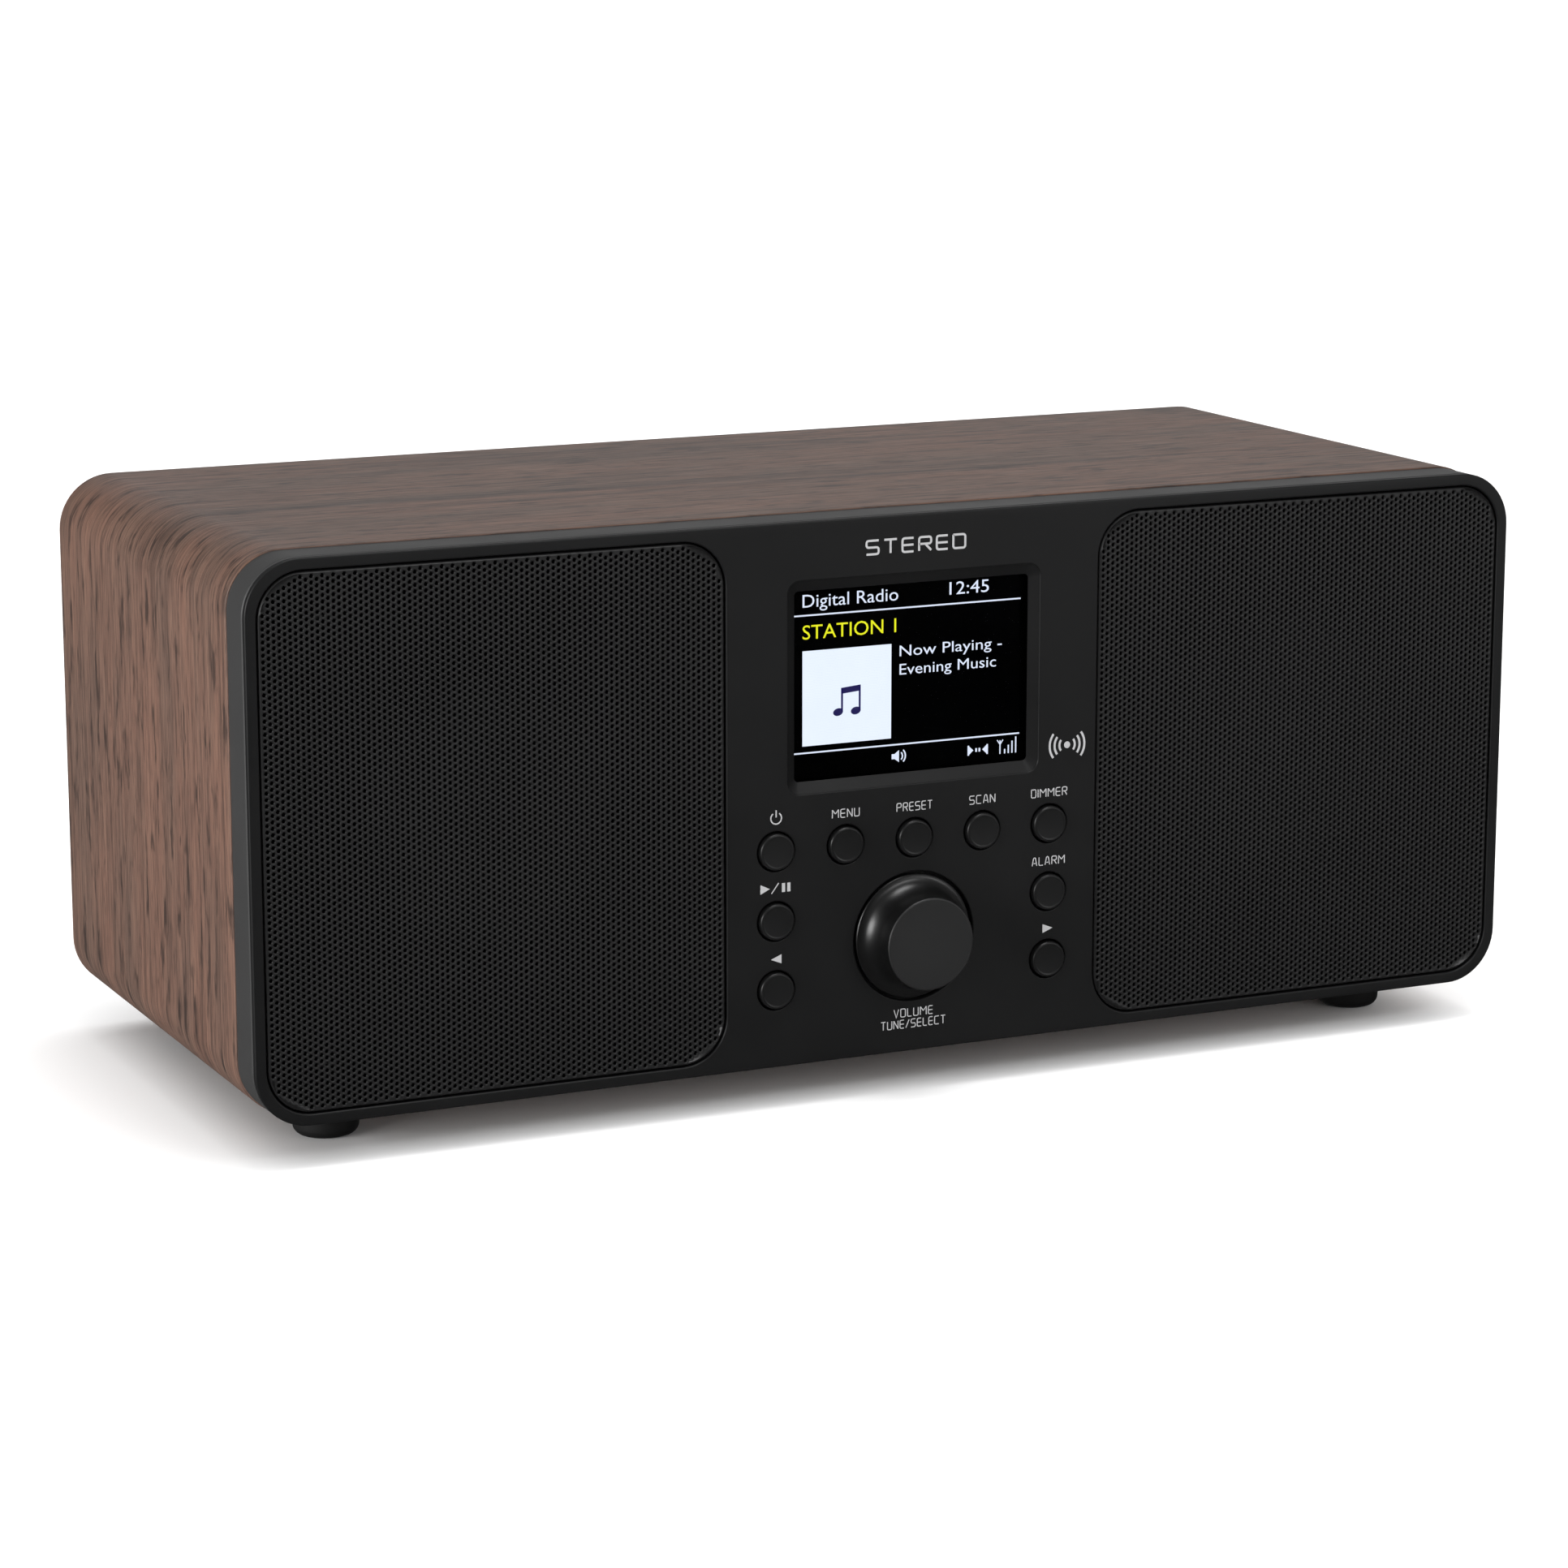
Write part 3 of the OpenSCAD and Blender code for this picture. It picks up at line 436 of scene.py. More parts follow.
def sleeve():
    """One closed shell round the body; its UV runs round the wrap in metres."""
    s = Shape()
    r = CORNER_R + (WOOD_W - BODY_W) / 2
    edge, back_edge = 0.3, 0.6
    section = [(a, WOOD_Y0 + d) for a, d in arc(edge)]
    section += [(a, WOOD_Y1 - d) for a, d in reversed(arc(back_edge, 4))]
    section += [(WALL - 0.4, WOOD_Y1), (WALL, WOOD_Y1 - 0.4), (WALL, WOOD_Y0)]
    rings, vs, v = [], [], 0.0
    for k, (inset, y) in enumerate(section):
        loop = rounded(WOOD_W - 2 * inset, WOOD_H - 2 * inset, r - inset, 0, MID_Z, 14)
        loop = loop[len(loop) // 2 + 7:] + loop[:len(loop) // 2 + 7]
        rings.append(at(loop, y))
        if k:
            a, b = section[k - 1], section[k]
            v += math.hypot(a[0] - b[0], a[1] - b[1])
        vs.append(v)
    outer = rings[len(arc(edge)) - 1]
    us = [0.0]
    for a, b in zip(outer, outer[1:] + outer[:1]):
        us.append(us[-1] + math.dist(a, b))
    n = len(outer)
    for k in range(len(rings)):
        a, b = rings[k], rings[(k + 1) % len(rings)]
        va = vs[k]
        vb = vs[k + 1] if k + 1 < len(rings) else va + WALL
        faces = [(i, (i + 1) % n, n + (i + 1) % n, n + i) for i in range(n)]
        uvs = [[(us[i] * MM, va * MM), (us[i + 1] * MM, va * MM),
                (us[i + 1] * MM, vb * MM), (us[i] * MM, vb * MM)] for i in range(n)]
        s.add(a + b, faces, uvs)
    # glue blocks that take the back panel's screws
    half, deep = 8, 16
    for x, z in back_screw_places():
        side, up = 1.5 * np.sign(round(x)), 1.5 * np.sign(z - MID_Z)
        y1 = box("back_panel")[0].y
        s.block((x - half + side, y1 - deep, z - half + up), (x + half + side, y1, z + half + up))
    return s


def back_screw_places():
    """Centres of the screws in the back panel, placed from the bounding box of their CAD node."""
    lo, hi = box("back_screws")
    head = 3.2
    xs, z0, z1 = (lo.x + head, hi.x - head), lo.z + head, hi.z - head
    return [(x, z) for x in xs for z in (z0, z1)] + [(0.0, z1)]


make("wood_sleeve", HOUSING, sleeve(), FINISH["wood_wrap"], ["cabinet"], angle=50, uv=True)


# ---------------------------------------------------------------- plastic ring

def ring_outline(inset):
    return rounded(BODY_W - 2 * inset, BODY_H - 2 * inset, max(CORNER_R - inset, 0.8), 0, MID_Z, 14)


def frame_ring():
    s = Shape()
    y0, y1, y2 = ring_lo.y, WOOD_Y0, ring_hi.y
    step, wall_in, lip_in = y0 + 3.3, 8.0, 11.0
    section = [(a, y0 + d) for a, d in arc(0.55)]
    section += [(0.0, y1 - 0.15), (0.15, y1), (wall_in, y1), (wall_in, y2), (lip_in, y2),
                (lip_in, step), (wall_in, step), (wall_in, y0)]
    s.loft([at(ring_outline(i), y) for i, y in section], closed=True)
    return s


make("front_ring", HOUSING, frame_ring(), FINISH["frame_plastic"], ["front_frame"])


# ---------------------------------------------------------------- front plate

GRILLE_W, GRILLE_R = 103.1, 10.0
GRILLE_H = BODY_H - 5
GRILLE_FLOOR_Y = box("grille_left")[0].y + 1.0
SPEAKER_X = BODY_W / 2 - 2.5 - GRILLE_W / 2
APERTURE_R = 34.0
SCREEN_W, SCREEN_H = 55.9, 41.2
BEZEL_W, BEZEL_H, BEZEL_R = 60.2, 46.0, 2.8
window_lo, window_hi = box("display_window")
SCREEN_Z = (window_lo.z + window_hi.z) / 2
BUTTONS = ["power_button", "menu_button", "preset_button", "scan_button", "dimmer_button",
           "play_pause_button", "alarm_button", "previous_button", "next_button"]
BUTTON_R = 4.0
HOLE_R = 4.4


def centre(node):
    lo, hi = box(node)
    return (lo.x + hi.x) / 2, (lo.z + hi.z) / 2


PLACE = {b: centre(b) for b in BUTTONS}
KNOB_X, KNOB_Z = centre("tuning_knob")
knob_lo, knob_hi = box("tuning_knob")
KNOB_R, KNOB_FACE_R = knob_hi.x, 10.25
KNOB_HOLE_R = KNOB_R + 0.7
KNOB_FLOOR_Y = FRONT_Y + 2.0
PLATE_T = 5.0
PLUG_INSET = 8.3                           # inset of the part of the plate that sits in the ring
BUSH_R = 4.0
FLANGE_Y = FRONT_Y + 5.1                    # where a button's flange stops behind the plate
BOARD_POSTS = ((-17, 16), (17, 16), (-41, 54.5), (41, 54.5))


def front_plate():
    s = Shape()
    e = 0.28
    back = FRONT_Y + PLATE_T
    outer_bevel = arc(0.4)
    # each opening: outline for an outward offset, and its edge rounding
    openings = []
    for side in (-1, 1):
        openings.append((lambda o, side=side: rounded(GRILLE_W + 2 * o, GRILLE_H + 2 * o, GRILLE_R + o,
                                                      side * SPEAKER_X, MID_Z, 12), 0.35))
    openings.append((lambda o: rounded(BEZEL_W + 2 * o, BEZEL_H + 2 * o, BEZEL_R + o, 0, SCREEN_Z, 8), 0.3))
    for b in BUTTONS:
        openings.append((lambda o, b=b: circle(HOLE_R + o, *PLACE[b], 56), e))
    openings.append((lambda o: circle(KNOB_HOLE_R + o, KNOB_X, KNOB_Z, 96), 0.3))
    rim = ring_outline
    s.fill(FRONT_Y, rim(outer_bevel[0][0]), [f(size) for f, size in openings])
    # outer edge, shadow groove, and the part that sits in the ring
    section = [(a, FRONT_Y + d) for a, d in outer_bevel]
    section += [(0.0, FRONT_Y + 1.15), (0.9, FRONT_Y + 1.15), (0.9, ring_lo.y), (PLUG_INSET, ring_lo.y),
                (PLUG_INSET, back)]
    s.loft([at(rim(i), y) for i, y in section])
    # openings: rounded edge, then the wall
    ends = [GRILLE_FLOOR_Y] * 2 + [None] + [back] * len(BUTTONS) + [KNOB_FLOOR_Y]
    for (f, size), end in zip(openings, ends):
        rings = [at(f(a), FRONT_Y + d) for a, d in arc(size)]
        if end is not None:
            rings.append(at(f(0), end))
        s.loft(rings)
    # grille recesses with the speaker openings
    for side in (-1, 1):
        recess = rounded(GRILLE_W, GRILLE_H, GRILLE_R, side * SPEAKER_X, MID_Z, 12)
        mouth = circle(APERTURE_R, side * SPEAKER_X, MID_Z, 72)
        # the recess floor takes the near-black cloth: painted shade seen through the grille holes
        s.paint = 1
        s.fill(GRILLE_FLOOR_Y, recess, [mouth])
        s.paint = 0
        s.loft([at(mouth, GRILLE_FLOOR_Y), at(mouth, back)])
    # bezel slope down to the screen, then the pocket
    edge = rounded(BEZEL_W, BEZEL_H, BEZEL_R, 0, SCREEN_Z, 8)
    screen = rounded(SCREEN_W, SCREEN_H, 1.0, 0, SCREEN_Z, 8)
    pocket = rounded(BEZEL_W + 2.4, BEZEL_H + 1.6, 0.5, 0, SCREEN_Z, 8)
    screen_y = window_lo.y
    s.loft([at(edge, FRONT_Y + 0.3), at(screen, screen_y - 0.12), at(screen, screen_y),
            at(pocket, screen_y), at(pocket, back)])
    # knob recess floor round the bush
    bush = circle(BUSH_R, KNOB_X, KNOB_Z, 48)
    s.fill(KNOB_FLOOR_Y, circle(KNOB_HOLE_R, KNOB_X, KNOB_Z, 96), [bush])
    s.loft([at(bush, KNOB_FLOOR_Y), at(bush, back)])
    mouths = [circle(APERTURE_R, side * SPEAKER_X, MID_Z, 72) for side in (-1, 1)]
    holes = mouths + [pocket, bush] + [circle(HOLE_R, *PLACE[b], 56) for b in BUTTONS]
    s.fill(back, rim(PLUG_INSET), holes, flip=True)
    # posts that carry the control board
    board_y = box("control_board")[0].y
    for x, z in BOARD_POSTS:
        s.lathe(x, BODY_Z + z, [(0, board_y), (1.05, board_y), (3, board_y), (3, back)], 24)
    return s


make("front_plate", HOUSING, front_plate(), FINISH["front_plastic"], ["fascia"], angle=32)


# ---------------------------------------------------------------- perforated grilles

HOLE_PITCH = 1.345
HEX_R = 0.49                               # six-sided hole with the area of a 0.9 mm round one
STEEL = 0.75
ROLL = 0.05                                # the punched edge flares by this much


def grille(side):
    cx = side * SPEAKER_X
    w, h, r = GRILLE_W - 0.8, GRILLE_H - 0.8, GRILLE_R - 0.4
    front, rim_e = GRILLE_FLOOR_Y - 1.0, 0.45
    col = HOLE_PITCH * math.cos(math.radians(30))
    nx, nz = int(w / 2 / col) + 1, int(h / 2 / HOLE_PITCH) + 1
    i, j = np.meshgrid(np.arange(-nx, nx + 1), np.arange(-nz, nz + 1), indexing="ij")
    # lattice points in whole steps: half a cell's circumradius across, half the pitch up
    c2 = np.stack([3 * i, 2 * j + i % 2], -1).reshape(-1, 2)
    step = np.array([HOLE_PITCH / math.sqrt(3) / 2, HOLE_PITCH / 2])
    c = c2 * step
    q = np.abs(c) - np.array([w / 2 - r, h / 2 - r])
    reach = np.hypot(*np.maximum(q, 0).T) + np.minimum(q.max(1), 0) - r
    kept = reach < -(HOLE_PITCH / math.sqrt(3) + 0.12)
    taken = kept.reshape(i.shape)
    c, c2 = c[kept], c2[kept]
    a = np.radians(60 * np.arange(6))
    star = np.stack([np.cos(a), np.sin(a)], -1)
    corners = c2[:, None] + np.array([(2, 0), (1, 1), (-1, 1), (-2, 0), (-1, -1), (1, -1)])
    holes, bottoms = c[:, None] + star * (HEX_R + ROLL), c[:, None] + star * (HEX_R - ROLL)
    n = len(c)
    keys, index = np.unique(corners.reshape(-1, 2), axis=0, return_inverse=True)
    keys = keys * step
    index = index.reshape(n, 6)
    nxt = np.roll(np.arange(6), -1)
    m = len(keys)
    front_hole = m + np.arange(6 * n).reshape(n, 6)
    back_hole = front_hole + 6 * n
    ring = np.stack([front_hole, index, index[:, nxt], front_hole[:, nxt]], -1).reshape(-1, 4)
    wall = np.stack([front_hole, front_hole[:, nxt], back_hole[:, nxt], back_hole], -1).reshape(-1, 4)
    # plain margin between the outermost cells and the folded rim
    pairs = np.stack([index, index[:, nxt]], -1).reshape(-1, 2)
    code = np.sort(pairs, 1) @ np.array([m, 1])
    once = pairs[np.isin(code, [k for k, t in zip(*np.unique(code, return_counts=True)) if t == 1])]
    used, local = np.unique(once, return_inverse=True)
    outline = rounded(w - 2 * rim_e, h - 2 * rim_e, r - rim_e, 0, 0, 12)
    pts = [Vector(p) for p in outline] + [Vector(p) for p in keys[used]]
    no = len(outline)
    edges = [(k, (k + 1) % no) for k in range(no)]
    edges += [tuple(int(x) + no for x in p) for p in local.reshape(-1, 2)]
    out = delaunay_2d_cdt(pts, edges, [], 0, 1e-6)
    v2 = np.array([tuple(v) for v in out[0]])
    tris = np.array([list(f) for f in out[2]])
    mid = v2[tris].mean(1)
    # a point is in the cell of its nearest lattice point; cells with a hole are filled already
    near, in_cell = np.full(len(mid), np.inf), np.zeros(len(mid), bool)
    for d in (-1, 0, 1):
        ci = np.clip(np.round(mid[:, 0] / col).astype(int) + d, -nx, nx)
        cj = np.clip(np.round(mid[:, 1] / HOLE_PITCH - 0.5 * (ci % 2)).astype(int), -nz, nz)
        gap = np.hypot(mid[:, 0] - ci * col, mid[:, 1] - (cj + 0.5 * (ci % 2)) * HOLE_PITCH)
        in_cell = np.where(gap < near, taken[ci + nx, cj + nz], in_cell)
        near = np.minimum(near, gap)
    tris = tris[inside(mid, outline) & ~in_cell]
    s = Shape()

    def lift(p, y):
        return np.column_stack([p[:, 0] + cx, np.full(len(p), y), p[:, 1] + MID_Z])

    verts = np.vstack([lift(keys, front), lift(holes.reshape(-1, 2), front),
                       lift(bottoms.reshape(-1, 2), front + STEEL)])
    s.add(verts, np.vstack([ring, wall]))
    s.add(lift(v2, front), tris)
    rim = [at(rounded(w - 2 * d, h - 2 * d, r - d, cx, MID_Z, 12), front + y) for d, y in arc(rim_e)]
    rim.append(at(rounded(w, h, r, cx, MID_Z, 12), GRILLE_FLOOR_Y))
    s.loft(rim)
    # fixing tabs through the front plate
    for sx in (-1, 1):
        for sz in (-1, 1):
            x, z = cx + sx * (GRILLE_W / 2 - 14), MID_Z + sz * (GRILLE_H / 2 - 10)
            s.block((x - 2.5, GRILLE_FLOOR_Y - 0.2, z - 0.5), (x + 2.5, GRILLE_FLOOR_Y + 4.5, z + 0.5))
    return s


for side, word in ((-1, "left"), (1, "right")):
    make("perforated_grille_" + word, HOUSING, grille(side), FINISH["grille_steel"],
         ["grille_" + word], angle=180, recalc=False)

# ---------------------------------------------------------------- buttons and knob

for b in BUTTONS:
    lo, hi = box(b)
    x, z = PLACE[b]
    back = FLANGE_Y
    dish = 0.12
    profile = [(0, lo.y + dish), (BUTTON_R - 0.9, lo.y + dish), (BUTTON_R - 0.62, lo.y + 0.03)]
    profile += [(BUTTON_R - a, lo.y + d) for a, d in arc(0.5, 4)]
    profile += [(BUTTON_R, back), (BUTTON_R + 1.4, back), (BUTTON_R + 1.4, back + 1), (1.8, back + 1),
                (1.8, hi.y - 2.25), (1.65, hi.y - 2.2), (1.65, hi.y), (0, hi.y)]
    s = Shape()
    s.lathe(x, z, profile, 56)
    make(b.replace("button", "cap"), b + "_body", s, FINISH["button_plastic"], [b],
         angle=40)


def knob():
    s = Shape()
    face, rim_y, back = knob_lo.y, knob_hi.y - 1.1, knob_hi.y
    flare_y = face + 3.4
    profile = [(0, face), (KNOB_FACE_R - 0.5, face)]
    profile += [(KNOB_FACE_R - a, face + d) for a, d in arc(0.42, 4)]
    steps = 20
    for k in range(steps + 1):
        t = math.radians(90 * k / steps)
        profile.append((KNOB_R - 0.15 - (KNOB_R - 0.15 - KNOB_FACE_R) * math.cos(t),
                        flare_y + (rim_y - flare_y) * math.sin(t)))
    profile += [(KNOB_R, rim_y + 0.2), (KNOB_R, back), (8.6, back), (7.8, face + 2.5), (5.2, face + 2.5),
                (5.2, back), (3.02, back), (3.02, face + 2.5), (0, face + 2.5)]
    s.lathe(KNOB_X, KNOB_Z, profile, 128)
    return s


make("turned_knob", "knob", knob(), FINISH["knob_plastic"], ["tuning_knob"], angle=30)

# ---------------------------------------------------------------- lettering and icons

GLYPHS = {  # strokes between the nine points of a cell: Top Middle Bottom, Left Centre Right
    "A": "BL Tl Tr BR,ml mr", "C": "TR TL BL BR", "D": "TL TR BR BL TL", "E": "TR TL BL BR,ML MR",
    "H": "TL BL,TR BR,ML MR", "I": "TC BC", "L": "TL BL BR", "M": "BL TL,TL MC,MC TR,TR BR",
    "N": "BL TL,TL BR,BR TR", "O": "TL TR BR BL TL", "P": "BL TL TR MR ML", "R": "BL TL TR MR ML,MC BR",
    "S": "TR TL ML MR BR BL", "T": "TL TR,TC BC", "U": "TL BL BR TR", "V": "TL BC TR",
    "X": "TL BR,BL TR", "/": "TR BL"}
GLYPH_W = {"I": 0.0, "M": 0.86, "L": 0.58, "E": 0.62, "/": 0.5, "T": 0.7}
PLAIN_W, GLYPH_GAP, SPACE_W = 0.68, 0.32, 0.5
STROKE_STEP = 0.006
SOFT = set("ACDELOPRSU")                   # letters with rounded turns


def ribbon(path, half, closed=False):
    """Left and right sides of a stroke with mitred turns."""
    p = [Vector(q) for q in path]
    sides = []
    for k, q in enumerate(p):
        before = p[k - 1] if k or closed else None
        after = p[(k + 1) % len(p)] if k + 1 < len(p) or closed else None
        d0 = (q - before).normalized() if before is not None else (after - q).normalized()
        d1 = (after - q).normalized() if after is not None else d0
        bis = d0 + d1
        bis = bis.normalized() if bis.length > 1e-6 else d0
        nrm = Vector((-bis.y, bis.x))
        stretch = 1 / max(abs(nrm.dot(Vector((-d0.y, d0.x)))), 0.5)
        sides.append((q + nrm * half * stretch, q - nrm * half * stretch))
    return sides


def soften(path, r):
    """Cuts each turn of a path with a small arc."""
    p = [Vector(q) for q in path]
    out = [p[0]]
    for a, q, b in zip(p, p[1:], p[2:]):
        u, v = (a - q), (b - q)
        t = min(r, u.length / 2, v.length / 2)
        for k in (0, 0.25, 0.5, 0.75, 1):
            s0, s1 = q + u.normalized() * t, q + v.normalized() * t
            out.append((1 - k) ** 2 * s0 + 2 * k * (1 - k) * q + k * k * s1)
    out.append(p[-1])
    return [tuple(q) for q in out]


class Print:
    """Flat printed marks on a plane that faces the front (facing -1) or the back (+1)."""

    def __init__(self, y, thick, facing=-1):
        self.shape, self.y, self.thick, self.facing = Shape(), y, thick, facing

    def polygon(self, loop):
        y0, y1 = sorted((self.y, self.y + self.facing * self.thick))
        pts = [(x * -self.facing, z) for x, z in loop]
        self.shape.prism(pts if self.facing < 0 else pts[::-1], y0, y1)

    def stroke(self, path, width, closed=False, lift=0.0):
        sides = ribbon(path, width / 2, closed)
        n = len(sides)
        y0, y1 = sorted((self.y, self.y + self.facing * (self.thick + lift)))
        m = -self.facing
        front = [(m * v.x, y0, v.y) for pair in sides for v in pair]
        back = [(m * v.x, y1, v.y) for pair in sides for v in pair]
        faces, k2 = [], 2 * n
        for k in range(n if closed else n - 1):
            a, b, c, d = 2 * k, 2 * k + 1, (2 * k + 3) % k2, (2 * k + 2) % k2
            faces += [(a, b, c, d), (k2 + d, k2 + c, k2 + b, k2 + a),
                      (a, d, k2 + d, k2 + a), (b, k2 + b, k2 + c, c)]
        if not closed:
            faces += [(0, k2, k2 + 1, 1), (k2 - 2, k2 - 1, 2 * k2 - 1, 2 * k2 - 2)]
        self.shape.add(front + back, faces)

    def text(self, words, cx, cz, cap, width, weight=0.105):
        """Squarish capitals, centred on (cx, cz) and scaled to a width."""
        advance, x = [], 0.0
        for ch in words:
            w = SPACE_W if ch == " " else GLYPH_W.get(ch, PLAIN_W)
            advance.append((x, w))
            x += w + GLYPH_GAP
        scale = (width - weight * cap) / (x - GLYPH_GAP)
        left = cx - (width - weight * cap) / 2
        high = cap * (1 - weight)
        for ch, (x0, w) in zip(words, advance):
            if ch == " ":
                continue
            # crossing strokes stand at different heights, so that no two faces coincide
            for k, stroke in enumerate(GLYPHS[ch].split(",")):
                pts = []
                for row, column in stroke.split():
                    fx = {"L": 0, "l": 0.3, "C": 0.5, "r": 0.7, "R": 1}[column]
                    fz = {"B": -0.5, "m": -0.2, "M": 0.0, "T": 0.5}[row]
                    pts.append((left + (x0 + w * fx) * scale, cz + fz * high))
                if ch in SOFT:
                    pts = soften(pts, cap * 0.17)
                self.stroke(pts, cap * weight, lift=k * STROKE_STEP)


front = Print(FRONT_Y, 0.03)
LABEL_CAP, LABEL_UP = 2.0, 6.95


def label(words, button, width):
    x, z = PLACE[button]
    front.text(words, x, z + LABEL_UP, LABEL_CAP, width)


label("MENU", "menu_button", 6.6)
label("PRESET", "preset_button", 8.7)
label("SCAN", "scan_button", 6.4)
label("DIMMER", "dimmer_button", 9.0)
label("ALARM", "alarm_button", 8.2)
front.text("VOLUME", KNOB_X, KNOB_Z - 17.0, LABEL_CAP, 9.6)
front.text("TUNE/SELECT", KNOB_X, KNOB_Z - 19.5, LABEL_CAP, 15.8)
front.text("STEREO", KNOB_X, BODY_Z + BODY_H - 6.6, 3.4, 24.0, 0.14)


def ring_arc(cx, cz, r, a0, a1, n=20):
    return [(cx + r * math.cos(math.radians(a0 + (a1 - a0) * k / n)),
             cz + r * math.sin(math.radians(a0 + (a1 - a0) * k / n))) for k in range(n + 1)]


# power symbol
px, pz = PLACE["power_button"]
pz += 7.3
front.stroke(ring_arc(px, pz, 1.25, 125, 415, 28), 0.28)
front.stroke([(px, pz + 0.2), (px, pz + 1.75)], 0.28)
# play / pause
px, pz = PLACE["play_pause_button"]
pz += 7.3
front.polygon([(px - 3.7, pz - 1.05), (px - 1.5, pz), (px - 3.7, pz + 1.05)])
front.stroke([(px - 1.1, pz - 1.1), (px + 0.6, pz + 1.15)], 0.24)
for dx in (1.35, 2.6):
    x0, x1, z0, z1 = px + dx, px + dx + 0.75, pz - 0.95, pz + 1.0
    front.polygon([(x0, z0), (x1, z0), (x1, z1), (x0, z1)])
# previous and next
for b, d in (("previous_button", -1), ("next_button", 1)):
    px, pz = PLACE[b]
    tri = [(px - 1.25 * d, pz + 6.9 - 1.0), (px + 1.25 * d, pz + 6.9), (px - 1.25 * d, pz + 6.9 + 1.0)]
    front.polygon(tri if d > 0 else tri[::-1])
# generic reception mark beside the screen: a dot with waves on both sides
px, pz = 37.2, BODY_Z + 64.8
front.polygon(circle(0.75, px, pz, 24))
for r in (1.9, 3.1, 4.3):
    for turn in (0, 180):
        front.stroke(ring_arc(px, pz, r, turn - 38, turn + 38, 14), 0.5)
make("front_lettering", HOUSING, front.shape, INK, angle=30)

# ---------------------------------------------------------------- picture on the screen

panel_y = box("display_module")[0].y
SHEET = 0.06


def on_screen(u, v):
    """A place on the screen, as shares of its width and height from its top left corner."""
    return (u - 0.5) * SCREEN_W, SCREEN_Z + (0.5 - v) * SCREEN_H


def rect(u0, v0, u1, v1):
    (x0, z1), (x1, z0) = on_screen(u0, v0), on_screen(u1, v1)
    return [(x0, z0), (x1, z0), (x1, z1), (x0, z1)]


def type_shape(shape, words, u0, u1, base, cap):
    """Built-in sans lettering between two places on the screen, on a base line."""
    curve = bpy.data.curves.new("letters", "FONT")
    curve.body = words
    curve.resolution_u = 3
    holder = bpy.data.objects.new("letters", curve)
    scene.collection.objects.link(holder)
    bpy.context.view_layer.update()
    mesh = holder.to_mesh()
    v = np.array([p.co[:2] for p in mesh.vertices])
    faces = [list(p.vertices) for p in mesh.polygons]
    holder.to_mesh_clear()
    bpy.data.objects.remove(holder)
    bpy.data.curves.remove(curve)
    (x0, z), (x1, _) = on_screen(u0, base), on_screen(u1, base)
    k = (x1 - x0) / (v[:, 0].max() - v[:, 0].min())
    v[:, 0] = x0 + (v[:, 0] - v[:, 0].min()) * k
    v[:, 1] = z + v[:, 1] * cap * SCREEN_H / CAP_SHARE
    shape.add([(x, panel_y - SHEET, y) for x, y in v], faces)


CAP_SHARE = 0.7                            # capital height of the built-in font at size 1
white, yellow, art, mark = Shape(), Shape(), Shape(), Shape()
type_shape(white, "Digital Radio", 0.05, 0.455, 0.095, 0.068)
type_shape(white, "12:45", 0.675, 0.846, 0.088, 0.068)
type_shape(yellow, "STATION 1", 0.05, 0.447, 0.262, 0.075)
type_shape(white, "Now Playing -", 0.462, 0.905, 0.392, 0.058)
type_shape(white, "Evening Music", 0.462, 0.880, 0.490, 0.058)
for v in (0.137, 0.86):
    white.prism(rect(0.012, v - 0.004, 0.985, v + 0.004), panel_y - SHEET, panel_y)
art.prism(rect(0.05, 0.323, 0.427, 0.824), panel_y - SHEET, panel_y)


def note_head(cx, cz, n=24):
    """A slanted oval."""
    turns = [2 * math.pi * k / n for k in range(n)]
    return [(cx + 1.15 * math.cos(t) - 0.2 * math.sin(t), cz + 0.8 * math.sin(t) + 0.25 * math.cos(t))
            for t in turns]


# two joined notes on the white card
nx, nz = on_screen(0.238, 0.60)
note_y = panel_y - 2 * SHEET, panel_y - SHEET
for dx in (-2.1, 2.1):
    x0, x1, z0, z1 = nx + dx + 0.7, nx + dx + 1.15, nz - 2.3, nz + 2.6
    mark.prism(note_head(nx + dx, nz - 2.4), *note_y)
    mark.prism([(x0, z0), (x1, z0), (x1, z1), (x0, z1)], *note_y)
mark.prism([(nx - 1.4, nz + 1.5), (nx + 3.25, nz + 1.9), (nx + 3.25, nz + 3.2), (nx - 1.4, nz + 2.8)],
           *note_y)
# footer: loudspeaker, stereo and reception marks
icons = Print(panel_y, SHEET)
sx, sz = on_screen(0.452, 0.923)
icons.polygon([(sx - 1.2, sz - 0.55), (sx - 0.5, sz - 0.55), (sx + 0.55, sz - 1.3), (sx + 0.55, sz + 1.3),
               (sx - 0.5, sz + 0.55), (sx - 1.2, sz + 0.55)])
for r in (1.1, 1.8):
    icons.stroke(ring_arc(sx + 0.3, sz, r, -45, 45, 8), 0.3)
sx, sz = on_screen(0.804, 0.93)
for d in (-1, 1):
    icons.stroke([(sx + d * 2.3, sz - 1.1), (sx + d * 2.3, sz + 1.1)], 0.35)
    wing = [(sx + d * 2.1, sz - 0.9), (sx + d * 1.1, sz), (sx + d * 2.1, sz + 0.9)]
    icons.polygon(wing if d < 0 else wing[::-1])
    icons.stroke([(sx + d * 0.4, sz - 0.4), (sx + d * 0.4, sz + 0.4)], 0.4)
sx, sz = on_screen(0.888, 0.963)
icons.stroke([(sx + 0.75, sz), (sx + 0.75, sz + 3.0)], 0.25)
icons.stroke([(sx + 0.05, sz + 3.1), (sx + 0.75, sz + 2.1), (sx + 1.45, sz + 3.1)], 0.22)
